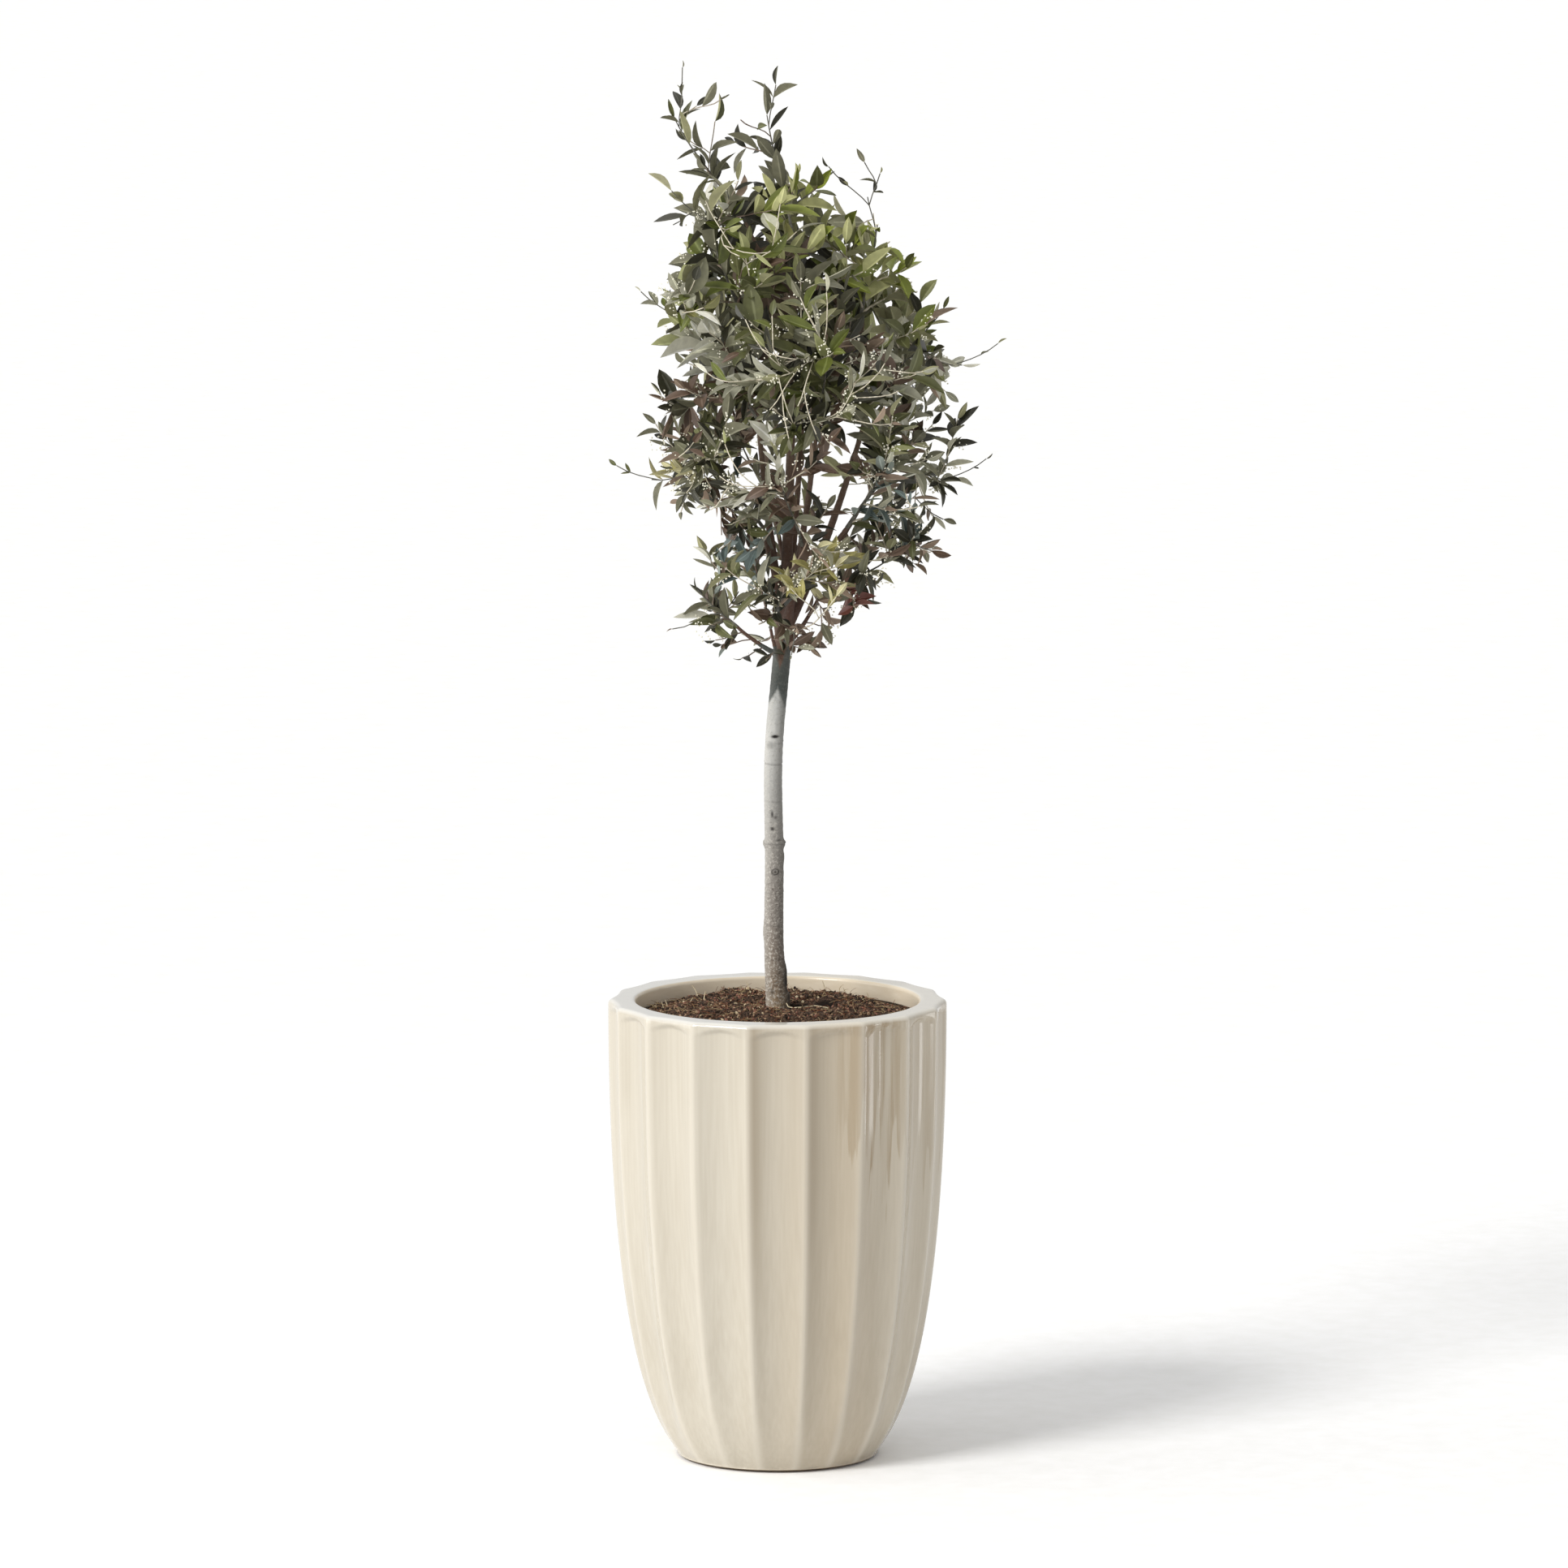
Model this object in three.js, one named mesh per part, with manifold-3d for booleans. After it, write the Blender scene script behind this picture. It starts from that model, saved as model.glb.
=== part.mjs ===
// A young olive tree grown as a standard, with a bare stem and a tall loose crown, in a fluted,
// cream glazed pot filled with compost. Millimetres, +Z up; +X is to the right and +Y to the back
// as seen from the front. The origin is the centre of the pot's flat underside.
import * as THREE from "three";
import { mergeVertices } from "three/addons/utils/BufferGeometryUtils.js";
import Module from "manifold-3d";

const wasm = await Module();
wasm.setup();

// Driving dimensions
const POT_HEIGHT = 602;
const POT_RADIUS = 220; // over the ridges between the flutes, at the lip
const FOOT_RADIUS = 119; // the bare clay foot that the glazed body stands on
const FOOT_HEIGHT = 3;
const FLUTES = 18;
const FLUTE_STEPS = 4; // facets across one flute
const FLUTE_HOLLOW = 6; // how far a flute is hollowed below the flat between its two ridges
const FLUTE_FADE = 150; // the hollows fade out over this height at the foot
const LIP_WIDTH = 36;
const LIP_DEPTH = 24; // the thick lip, above the thinner wall
const LIP_ROUND = 6;
const WALL = 28;
const FLOOR = 30;
const INNER_FACETS = 30; // round the pot's inside
const SOIL_DROP = 12; // lip to compost beside the stem
const SOIL_EDGE_DROP = 30; // lip to compost beside the wall
const SOIL_LUMPS = 4;
const SOIL_SLUMP = 6; // from the wall to where the compost's top starts to rise
const CLEAR = 0.3; // between touching pieces
const TRUNK_HEIGHT = 507; // compost to fork
const TRUNK_FOOT = 12.6; // radius above the root flare
const TRUNK_TOP = 10.4;
const ROOT_FLARE = 4.5;
const CROWN_TOP = 1826;

const soilLevel = POT_HEIGHT - SOIL_DROP;
const vec = (x, y, z) => new THREE.Vector3(x, y, z);
const up = vec(0, 0, 1);
const turn = (degrees) => THREE.MathUtils.degToRad(degrees);
const around = (degrees, radius, z) =>
  vec(radius * Math.cos(turn(degrees)), radius * Math.sin(turn(degrees)), z);

// A geometry as a solid that can be joined and cut, and back again
function solid(geometry) {
  const bare = geometry.index ? geometry.clone() : geometry;
  bare.deleteAttribute("normal");
  bare.deleteAttribute("uv");
  const merged = mergeVertices(bare, 1e-3);
  return new wasm.Manifold(
    new wasm.Mesh({
      numProp: 3,
      vertProperties: new Float32Array(merged.attributes.position.array),
      triVerts: new Uint32Array(merged.index.array),
    }),
  );
}

function geometryOf(made) {
  const mesh = made.getMesh();
  const geometry = new THREE.BufferGeometry();
  geometry.setAttribute(
    "position",
    new THREE.BufferAttribute(new Float32Array(mesh.vertProperties), 3),
  );
  geometry.setIndex(new THREE.BufferAttribute(new Uint32Array(mesh.triVerts), 1));
  return geometry;
}

// The largest body of a solid, without the scraps and sealed hollows that joining may leave
function mainBody(made) {
  return made.decompose().reduce((a, b) => (a.volume() > b.volume() ? a : b));
}

const root = new THREE.Group();

function addPart(name, geometry, { color, roughness, metalness = 0 }) {
  const mesh = new THREE.Mesh(
    geometry,
    new THREE.MeshStandardMaterial({ color, roughness, metalness }),
  );
  mesh.name = name;
  root.add(mesh);
}

const GLAZE = { color: 0xded3c1, roughness: 0.15 };
const COMPOST = { color: 0x3d2b20, roughness: 0.95 };
const BARK = { color: 0x8f8981, roughness: 0.8 };
const FOLIAGE = { color: 0x56604a, roughness: 0.5 };

// Pot

// The pot's side, from its foot to its lip, over the ridges: (radius, height)
const potSide = new THREE.CubicBezierCurve(
  new THREE.Vector2(127, 0),
  new THREE.Vector2(160, 40),
  new THREE.Vector2(POT_RADIUS, 130),
  new THREE.Vector2(POT_RADIUS, POT_HEIGHT),
);

// The side's radius over the ridges at a height
function sideRadius(z) {
  let low = 0;
  let high = 1;
  for (let i = 0; i < 30; i++) {
    const middle = (low + high) / 2;
    if (potSide.getPoint(middle).y < z) low = middle;
    else high = middle;
  }
  return potSide.getPoint(low).x;
}

// Radius lost at an angle and height: none on a ridge, most in mid flute
function fluteLoss(angle, radius, z) {
  const half = Math.PI / FLUTES;
  const across = THREE.MathUtils.euclideanModulo(angle, 2 * half) - half;
  const flat = radius * (1 - Math.cos(half) / Math.cos(across));
  const lipShare = THREE.MathUtils.smoothstep(z, POT_HEIGHT - LIP_ROUND, POT_HEIGHT);
  const hollow = FLUTE_HOLLOW * THREE.MathUtils.smoothstep(z, 0, FLUTE_FADE) * (1 - 0.3 * lipShare);
  return flat + hollow * (1 - (across / half) ** 2);
}

// A lathe whose axis is turned from Y to Z
function latheUp(profile, segments) {
  const points = profile.map(([r, z]) => new THREE.Vector2(r, z));
  return new THREE.LatheGeometry(points, segments).rotateX(Math.PI / 2);
}

function potGeometry() {
  const glazeStart = 2 * FOOT_HEIGHT;
  const bodyTop = POT_HEIGHT - LIP_ROUND;
  const outside = [0, 0.06, 0.14, 0.24, 0.38, 0.55, 0.76, 1].map((share) => {
    const z = glazeStart + (bodyTop - glazeStart) * share;
    return [sideRadius(z), z];
  });
  const lip = [35, 90].map((angle) => [
    POT_RADIUS - LIP_ROUND * (1 - Math.cos(turn(angle))),
    bodyTop + LIP_ROUND * Math.sin(turn(angle)),
  ]);
  const blank = latheUp(
    [
      [0, 0],
      [FOOT_RADIUS, 0],
      [FOOT_RADIUS, FOOT_HEIGHT],
      ...outside,
      ...lip,
      [0, POT_HEIGHT],
    ],
    FLUTES * FLUTE_STEPS,
  );
  const at = blank.attributes.position;
  for (let i = 0; i < at.count; i++) {
    const radius = Math.hypot(at.getX(i), at.getY(i));
    if (radius < FOOT_RADIUS + 1) continue;
    const angle = Math.atan2(at.getY(i), at.getX(i)) + Math.PI / 2 - Math.PI / FLUTES;
    const kept = (radius - fluteLoss(angle, radius, at.getZ(i))) / radius;
    at.setXY(i, at.getX(i) * kept, at.getY(i) * kept);
  }
  return geometryOf(solid(blank).subtract(solid(cavity(0))));
}

// The inside of the pot, or what fills it with a gap to the wall
function cavityProfile(gap) {
  const inner = (z) => sideRadius(z) - WALL - gap;
  const below = POT_HEIGHT - LIP_DEPTH;
  return [
    [0, FLOOR + gap],
    [inner(FLOOR) - 16, FLOOR + gap],
    ...[60, 120, 200, 320].map((z) => [inner(z), z]),
    [inner(below - 10), below - 10],
  ];
}

function cavity(gap) {
  const lipRadius = POT_RADIUS - LIP_WIDTH - gap;
  return latheUp(
    [
      ...cavityProfile(gap),
      [lipRadius, POT_HEIGHT - LIP_DEPTH],
      [lipRadius, POT_HEIGHT - LIP_ROUND * 0.7],
      [lipRadius + LIP_ROUND * 0.3, POT_HEIGHT - LIP_ROUND * 0.2],
      [lipRadius + LIP_ROUND, POT_HEIGHT + 1],
      [0, POT_HEIGHT + 1],
    ],
    INNER_FACETS,
  );
}

// Compost, heaped a little round the stem
function compostGeometry() {
  const edge = POT_HEIGHT - SOIL_EDGE_DROP;
  const side = cavityProfile(CLEAR).filter(([, z]) => z < edge);
  const rim = sideRadius(edge) - WALL - CLEAR - SOIL_SLUMP;
  const seat = 5 * ROOT_FLARE; // level under the stem
  const heap = (r) => edge + (soilLevel - edge) * Math.cos((Math.PI / 2) * (r / rim)) ** 0.7;
  const top = [0.86, 0.62, 0.36].map((share) => [rim * share, heap(rim * share)]);
  const geometry = latheUp(
    [...side, [rim, edge], ...top, [seat, soilLevel], [0, soilLevel]],
    INNER_FACETS,
  );
  const at = geometry.attributes.position;
  for (let i = 0; i < at.count; i++) {
    const [x, y, z] = [at.getX(i), at.getY(i), at.getZ(i)];
    if (z <= edge || Math.hypot(x, y) < seat + 1) continue;
    at.setZ(i, z + SOIL_LUMPS * (Math.sin(x / 23) * Math.cos(y / 31) - 0.25));
  }
  return geometry;
}

// Limbs

// The stem's centre line, by its share of the way from compost to fork
function trunkCentre(share) {
  const x = 8 * share ** 3 - 6.5 * Math.sin(Math.PI * share) - 1.5 * Math.sin(12 * share);
  const y = 3 * Math.sin(5 * share) * share;
  return vec(x, y, soilLevel + CLEAR + TRUNK_HEIGHT * share);
}

function trunkRadius(share) {
  const flare = ROOT_FLARE * Math.exp(-share * 22);
  const fork = 3 * Math.exp(-(1 - share) * 30);
  return TRUNK_FOOT + (TRUNK_TOP - TRUNK_FOOT) * Math.sqrt(share) + flare + fork;
}

// The centre line begins a little below the compost, so that the foot can be cut off level
const BELOW = 0.03;

class TrunkCurve extends THREE.Curve {
  getPoint(t, target = new THREE.Vector3()) {
    return target.copy(trunkCentre(t * (1 + BELOW) - BELOW));
  }
}

// A solid of changing radius along a curve: a turned profile, bent
function limb(curve, radiusAt, sides, rings, grow = 0) {
  const frames = curve.computeFrenetFrames(rings);
  const shares = [...Array(rings + 1).keys()].map((k) => k / rings);
  const profile = shares.map((share) => new THREE.Vector2(radiusAt(share) + grow, share));
  const straight = new THREE.LatheGeometry(
    [new THREE.Vector2(0, 0), ...profile, new THREE.Vector2(0, 1)],
    sides,
  );
  const at = straight.attributes.position;
  for (let i = 0; i < at.count; i++) {
    const share = at.getY(i);
    const k = Math.round(share * rings);
    const [n, t] = [frames.normals[k], frames.tangents[k]];
    const b = vec(0, 0, 0).crossVectors(n, t);
    const p = curve.getPointAt(share);
    p.addScaledVector(n, at.getX(i)).addScaledVector(b, at.getZ(i));
    p.addScaledVector(t, k === 0 ? -grow : k === rings ? grow : 0);
    at.setXYZ(i, p.x, p.y, p.z);
  }
  return straight;
}

const trunkCurve = new TrunkCurve();
const TRUNK_FACETS = [9, 15]; // sides, and lengths along it
const BOUGH_FACETS = [5, 4];

// The crown: its reach to the left and right of the stem's line at heights above the ground
const CROWN = [
  { z: 1030, left: 12, right: 14 },
  { z: 1066, left: 92, right: 66 },
  { z: 1110, left: 132, right: 112 },
  { z: 1175, left: 108, right: 206 },
  { z: 1250, left: 150, right: 226 },
  { z: 1300, left: 176, right: 250 },
  { z: 1330, left: 180, right: 258 },
  { z: 1440, left: 176, right: 264 },
  { z: 1530, left: 178, right: 222 },
  { z: 1610, left: 134, right: 170 },
  { z: 1665, left: 140, right: 112 },
  { z: 1730, left: 156, right: 34 },
  { z: 1800, left: 146, right: 26 },
  { z: CROWN_TOP + 4, left: 122, right: 16 },
];

// The crown's middle and its half width at a height
function crownAt(z) {
  const last = CROWN.length - 1;
  const top = CROWN.findIndex((row) => row.z >= z);
  const k = top < 1 ? (top < 0 ? last : 1) : top;
  const [a, b] = [CROWN[k - 1], CROWN[k]];
  const t = THREE.MathUtils.clamp((z - a.z) / (b.z - a.z), 0, 1);
  const left = a.left + (b.left - a.left) * t;
  const right = a.right + (b.right - a.right) * t;
  return { middle: (right - left) / 2, half: (right + left) / 2 };
}

// How far out a point is: 0 in the crown's middle, 1 on its outline
function outness(p) {
  const { middle, half } = crownAt(p.z);
  return Math.hypot(p.x - middle, p.y) / half;
}

function insideCrown(p, margin) {
  if (p.z < CROWN[0].z || p.z > CROWN_TOP - Math.max(margin, 0)) return false;
  return outness(p) * crownAt(p.z).half < crownAt(p.z).half - margin;
}

// A place on a tier of the crown, by direction and by how far out it is
function place(degrees, out, z) {
  const { middle, half } = crownAt(z);
  return around(degrees, half * out, z).add(vec(middle, 0, 0));
}

// The main limbs. from: the limb it leaves, and at which share of that limb's length.
// to: where it ends, as direction, outness and height. Its mass of foliage starts there.
const LIMBS = [
  { name: "leader", from: "trunk", at: 1, to: [60, 0.05, 1575], foot: 8.5, tip: 3.4 },
  { name: "left", from: "trunk", at: 0.985, to: [188, 0.3, 1360], foot: 7.2, tip: 3.2 },
  { name: "right", from: "trunk", at: 0.97, to: [2, 0.34, 1365], foot: 7.4, tip: 3.2 },
  { name: "front", from: "trunk", at: 0.955, to: [278, 0.34, 1350], foot: 6.6, tip: 3 },
  { name: "back", from: "trunk", at: 0.94, to: [95, 0.36, 1360], foot: 6.8, tip: 3 },
  { name: "mid_left", from: "left", at: 0.25, to: [206, 0.38, 1225], foot: 4.4, tip: 2.6 },
  { name: "mid_right", from: "right", at: 0.28, to: [24, 0.4, 1240], foot: 4.6, tip: 2.6 },
  { name: "mid_front_left", from: "front", at: 0.22, to: [258, 0.36, 1205], foot: 4.2, tip: 2.6 },
  { name: "mid_front_right", from: "front", at: 0.3, to: [312, 0.42, 1228], foot: 4.4, tip: 2.6 },
  { name: "mid_back", from: "back", at: 0.28, to: [128, 0.4, 1235], foot: 4.4, tip: 2.6 },
  { name: "low_left", from: "trunk", at: 0.91, to: [184, 0.42, 1092], foot: 3.8, tip: 2.4 },
  { name: "low_right", from: "trunk", at: 0.925, to: [356, 0.36, 1128], foot: 3.8, tip: 2.4 },
  { name: "low_front", from: "trunk", at: 0.885, to: [272, 0.36, 1096], foot: 3.4, tip: 2.2 },
  { name: "low_back", from: "trunk", at: 0.9, to: [84, 0.38, 1108], foot: 3.6, tip: 2.2 },
  { name: "shoulder_left", from: "leader", at: 0.62, to: [206, 0.42, 1508], foot: 4.2, tip: 2.6 },
  { name: "shoulder_right", from: "leader", at: 0.56, to: [24, 0.4, 1490], foot: 4.4, tip: 2.6 },
  { name: "top_left", from: "leader", at: 0.86, to: [180, 0.38, 1618], foot: 3.2, tip: 2.2 },
];

// The masses: where the heart of each one's space is, how many twigs it has, and the tips of
// the long shoots that stand out of the crown
const MASSES = [
  { on: "leader", heart: [10, 0.35, 1725], twigs: 5, shoots: [vec(-2, 6, 1782), vec(52, -4, 1660)] },
  { on: "top_left", heart: [180, 0.6, 1722], twigs: 5, shoots: [vec(-122, 0, 1776)] },
  { on: "left", heart: [188, 0.58, 1440], twigs: 5, shoots: [vec(-140, 20, 1500)] },
  { on: "right", heart: [2, 0.6, 1450], twigs: 6, shoots: [vec(238, -10, 1430)] },
  { on: "front", heart: [278, 0.6, 1435], twigs: 6, shoots: [] },
  { on: "back", heart: [95, 0.6, 1445], twigs: 5, shoots: [] },
  { on: "mid_left", heart: [202, 0.62, 1294], twigs: 5, shoots: [vec(-162, -30, 1284)] },
  { on: "mid_right", heart: [24, 0.62, 1300], twigs: 5, shoots: [vec(226, 36, 1276)] },
  { on: "mid_front_left", heart: [256, 0.62, 1270], twigs: 6, shoots: [] },
  { on: "mid_front_right", heart: [314, 0.62, 1288], twigs: 6, shoots: [] },
  { on: "mid_back", heart: [126, 0.62, 1300], twigs: 5, shoots: [] },
  { on: "low_left", heart: [184, 0.62, 1112], twigs: 5, shoots: [vec(-100, 0, 1100)] },
  { on: "low_right", heart: [356, 0.66, 1160], twigs: 5, shoots: [vec(116, -8, 1126)] },
  { on: "low_front", heart: [272, 0.62, 1128], twigs: 5, shoots: [] },
  { on: "low_back", heart: [84, 0.64, 1136], twigs: 5, shoots: [] },
  { on: "shoulder_left", heart: [206, 0.6, 1585], twigs: 6, shoots: [] },
  { on: "shoulder_right", heart: [24, 0.6, 1580], twigs: 6, shoots: [vec(116, 0, 1646)] },
];

const limbCurves = new Map([["trunk", { curve: trunkCurve, radiusAt: trunkRadius }]]);
const limbSolids = []; // each a little thicker than its limb, for cutting its neighbours clear

// A limb leaves its parent at an angle, then turns upwards
function limbCurve(row) {
  const parent = limbCurves.get(row.from);
  const start = parent.curve.getPointAt(row.at);
  const end = place(...row.to);
  const flat = vec(end.x - start.x, end.y - start.y, 0);
  const control = start.clone().addScaledVector(flat, 0.55);
  control.z += (end.z - start.z) * 0.38;
  return new THREE.QuadraticBezierCurve3(start, control, end);
}

function growLimbs() {
  const trunk = solid(limb(trunkCurve, trunkRadius, ...TRUNK_FACETS));
  addPart("trunk", geometryOf(trunk.trimByPlane([0, 0, 1], soilLevel + CLEAR)), BARK);
  limbSolids.push(solid(limb(trunkCurve, trunkRadius, ...TRUNK_FACETS, CLEAR)));
  for (const row of LIMBS) {
    const curve = limbCurve(row);
    const collar = (share) => 0.3 * row.foot * Math.exp(-share * 14);
    const radiusAt = (share) => row.foot + (row.tip - row.foot) * share ** 0.8 + collar(share);
    let made = solid(limb(curve, radiusAt, ...BOUGH_FACETS));
    for (const other of limbSolids) made = made.subtract(other);
    made = mainBody(made);
    addPart(`bough_${row.name}`, geometryOf(made), BARK);
    const spaced = solid(limb(curve, radiusAt, ...BOUGH_FACETS, CLEAR));
    limbSolids.push(spaced);
    limbCurves.set(row.name, { curve, radiusAt, spaced });
  }
}

// Chance: the same numbers each time for the same seed
function chance(seed) {
  let state = (seed * 2654435 + 12345) % 4294967296;
  const next = () => {
    state = (state * 1664525 + 1013904223) % 4294967296;
    return state / 4294967296;
  };
  next();
  next();
  return next;
}

// A mass's own space: nearer to its heart than to any other, with a gap between spaces
const SPACE_GAP = 1;
const hearts = MASSES.map((mass) => place(...mass.heart));

function inSpace(p, own) {
  return hearts.every((heart, k) => {
    if (k === own) return true;
    const apart = heart.clone().sub(hearts[own]);
    const middle = heart.clone().add(hearts[own]).multiplyScalar(0.5);
    return p.clone().sub(middle).dot(apart) / apart.length() < -SPACE_GAP;
  });
}

// Points along each limb, for keeping twigs and leaves clear of them
const LIMB_STEP = 6;
const LIMB_GAP = 3;
const limbPoints = [];

function sampleLimbs() {
  for (const { curve, radiusAt } of limbCurves.values()) {
    const steps = Math.ceil(curve.getLength() / LIMB_STEP);
    for (let k = 0; k <= steps; k++)
      limbPoints.push({ at: curve.getPointAt(k / steps), radius: radiusAt(k / steps) });
  }
}

function clearOfLimbs(a, b, radius) {
  const line = new THREE.Line3(a, b);
  const near = vec(0, 0, 0);
  return limbPoints.every((limbPoint) => {
    line.closestPointToPoint(limbPoint.at, true, near);
    return near.distanceTo(limbPoint.at) > limbPoint.radius + radius + LIMB_GAP;
  });
}

// Evenly scattered points in a mass's space, in the outer part of the crown
const SCATTER = 1.2207440846057596; // the root of x^4 = x + 1 spreads points evenly in a box
const INNER = 0.4;
const TIP_MARGIN = 34; // from a twig's tip to the crown's outline, for its last leaves
const MASS_REACH = 190;
const MOST_TRIES = 4000;

function scatter(own, count) {
  const heart = hearts[own];
  const along = (i, power) => MASS_REACH * (2 * ((0.5 + i / SCATTER ** power) % 1) - 1);
  const found = [];
  for (let i = 1; found.length < count && i < MOST_TRIES; i++) {
    const p = vec(along(i, 1), along(i, 2), along(i, 3)).add(heart);
    if (insideCrown(p, TIP_MARGIN) && outness(p) > INNER && inSpace(p, own)) found.push(p);
  }
  return found;
}

// A shoot from a point on the skeleton to a target: it leaves forwards and its tip turns up
const SHOOT_STEP = 44;
const STEM_FOOT = 3; // radii
const TWIG_TIP = 0.9;
const FORK_SHARE = 0.72; // a twig's foot against the twig that it leaves

function shootPoints(from, heading, to) {
  const reach = from.distanceTo(to);
  const straight = to.clone().sub(from).normalize();
  const leave = heading.clone().multiplyScalar(0.5).add(straight).normalize();
  const arrive = straight.clone().addScaledVector(up, 0.35).normalize();
  const steps = Math.max(2, Math.round(reach / SHOOT_STEP));
  const points = [];
  for (let k = 0; k <= steps; k++) {
    const t = k / steps;
    const [h1, h2] = [2 * t ** 3 - 3 * t * t + 1, 3 * t * t - 2 * t ** 3];
    const [h3, h4] = [t ** 3 - 2 * t * t + t, t ** 3 - t * t];
    const p = from.clone().multiplyScalar(h1).addScaledVector(to, h2);
    points.push(p.addScaledVector(leave, h3 * reach).addScaledVector(arrive, h4 * reach));
  }
  return points;
}

// Where a new shoot leaves the skeleton: near the target, and not turning back
const SHORTEST_SHOOT = 28;
const WIDEST_TURN = Math.cos(turn(72));

function bestFork(skeleton, target) {
  let best = null;
  for (const joint of skeleton) {
    const apart = target.clone().sub(joint.at);
    const distance = apart.length();
    const along = apart.dot(joint.heading) / distance;
    if (distance < SHORTEST_SHOOT || along < WIDEST_TURN) continue;
    const cost = distance * (1.6 - 0.6 * along);
    if (!best || cost < best.cost) best = { ...joint, cost };
  }
  return best;
}

function addToSkeleton(skeleton, { points, foot }) {
  for (let k = 1; k < points.length - 1; k++) {
    const heading = points[k + 1].clone().sub(points[k - 1]).normalize();
    const radius = foot + ((TWIG_TIP - foot) * k) / (points.length - 1);
    skeleton.push({ at: points[k], heading, radius });
  }
}

// The twigs of one mass: its stem first, then shoots to its scattered targets
function growTwigs(own) {
  const mass = MASSES[own];
  const { curve } = limbCurves.get(mass.on);
  const heading = curve.getTangentAt(1);
  const start = curve.getPointAt(1).addScaledVector(heading, CLEAR + 0.05);
  const { middle, half } = crownAt(mass.heart[2]);
  const outward = hearts[own].clone().sub(vec(middle, 0, mass.heart[2])).divideScalar(half);
  const stemTip = hearts[own].clone().addScaledVector(outward, 30).addScaledVector(up, 26);
  const stem = { points: shootPoints(start, heading, stemTip), foot: STEM_FOOT };
  const twigs = [stem];
  const nearStart = start.clone().addScaledVector(heading, 2 * STEM_FOOT);
  const skeleton = [{ at: nearStart, heading, radius: STEM_FOOT }];
  addToSkeleton(skeleton, stem);
  const targets = scatter(own, mass.twigs);
  targets.sort((a, b) => a.distanceTo(start) - b.distanceTo(start));
  for (const target of [...mass.shoots, ...targets]) {
    const fork = bestFork(skeleton, target);
    if (!fork) continue;
    const points = shootPoints(fork.at, fork.heading, target);
    const outer = points.slice(1);
    const clear = outer.every((p, k) => k === 0 || clearOfLimbs(outer[k - 1], p, 2));
    if (!clear || !outer.every((p) => inSpace(p, own))) continue;
    const foot = Math.max(TWIG_TIP, fork.radius * FORK_SHARE);
    const twig = { points, foot, long: mass.shoots.includes(target) };
    twigs.push(twig);
    addToSkeleton(skeleton, twig);
  }
  return twigs;
}

// A three-sided twig through its points, thinner towards its tip
function twigSolid({ points, foot }, curve) {
  const radiusAt = (share) => foot + (TWIG_TIP - foot) * share;
  return solid(limb(curve, radiusAt, 3, points.length - 1));
}

// A leaf of six faces: flat above, with a keel below
const LEAF_LENGTH = 74;
const LEAF_WIDTH = 30;
const LEAF_THICK = 2.6;

function leafSolid(leaf) {
  const side = vec(0, 0, 0).crossVectors(leaf.face, leaf.heading);
  const point = (along, across, above) =>
    leaf.root
      .clone()
      .addScaledVector(leaf.heading, leaf.length * along)
      .addScaledVector(side, leaf.width * across)
      .addScaledVector(leaf.face, above);
  const [foot, tip] = [point(0, 0, 0), point(1, 0, 0)];
  const [left, right, keel] = [point(0.45, 0.5, 0), point(0.45, -0.5, 0), point(0.4, 0, -LEAF_THICK)];
  return new wasm.Manifold(
    new wasm.Mesh({
      numProp: 3,
      vertProperties: new Float32Array([foot, left, tip, right, keel].flatMap((p) => p.toArray())),
      triVerts: new Uint32Array([0, 3, 1, 3, 2, 1, 0, 1, 4, 1, 2, 4, 2, 3, 4, 3, 0, 4]),
    }),
  );
}

// Leaves in opposite pairs, each pair turned from the last, and one at the tip
const NODE_STEP = 25;
const BARE_SHARE = 0.2;

function leavesOn({ points, long }, curve, random) {
  const leaves = [];
  const length = curve.getLength();
  const frames = curve.computeFrenetFrames(points.length - 1);
  const nodes = Math.max(1, Math.floor((length * (1 - BARE_SHARE)) / NODE_STEP));
  const firstTurn = Math.floor(6 * random());
  for (let k = 0; k <= nodes; k++) {
    const share = Math.max(0.1, 1 - (1 + (nodes - k) * NODE_STEP) / length);
    const root = curve.getPointAt(share);
    const heading = curve.getTangentAt(share);
    const normal = frames.normals[Math.round(share * (points.length - 1))];
    const across = normal.clone().addScaledVector(heading, -normal.dot(heading)).normalize();
    across.applyAxisAngle(heading, (firstTurn + k) * turn(60)); // between two edges of the twig
    for (const sign of k === nodes ? [0] : [1, -1]) {
      const splay = turn(38 + 24 * random());
      const size = 0.82 + 0.36 * random();
      const away = heading.clone().multiplyScalar(sign === 0 ? 1 : Math.cos(splay));
      away.addScaledVector(across, sign * Math.sin(splay)).normalize();
      const face = heading.clone().addScaledVector(up, 0.6);
      if (sign === 0) face.copy(across);
      face.addScaledVector(away, -face.dot(away)).normalize();
      face.applyAxisAngle(away, (random() - 0.5) * 0.9);
      leaves.push({
        root: root.clone().addScaledVector(away, -0.3),
        heading: away,
        face,
        length: LEAF_LENGTH * size,
        width: LEAF_WIDTH * size,
        long,
      });
    }
  }
  return leaves;
}

// A leaf stays in its mass's space and the crown, and clear of the limbs
const STAND_OUT = 36; // how far leaves on the long shoots reach beyond the crown

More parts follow.
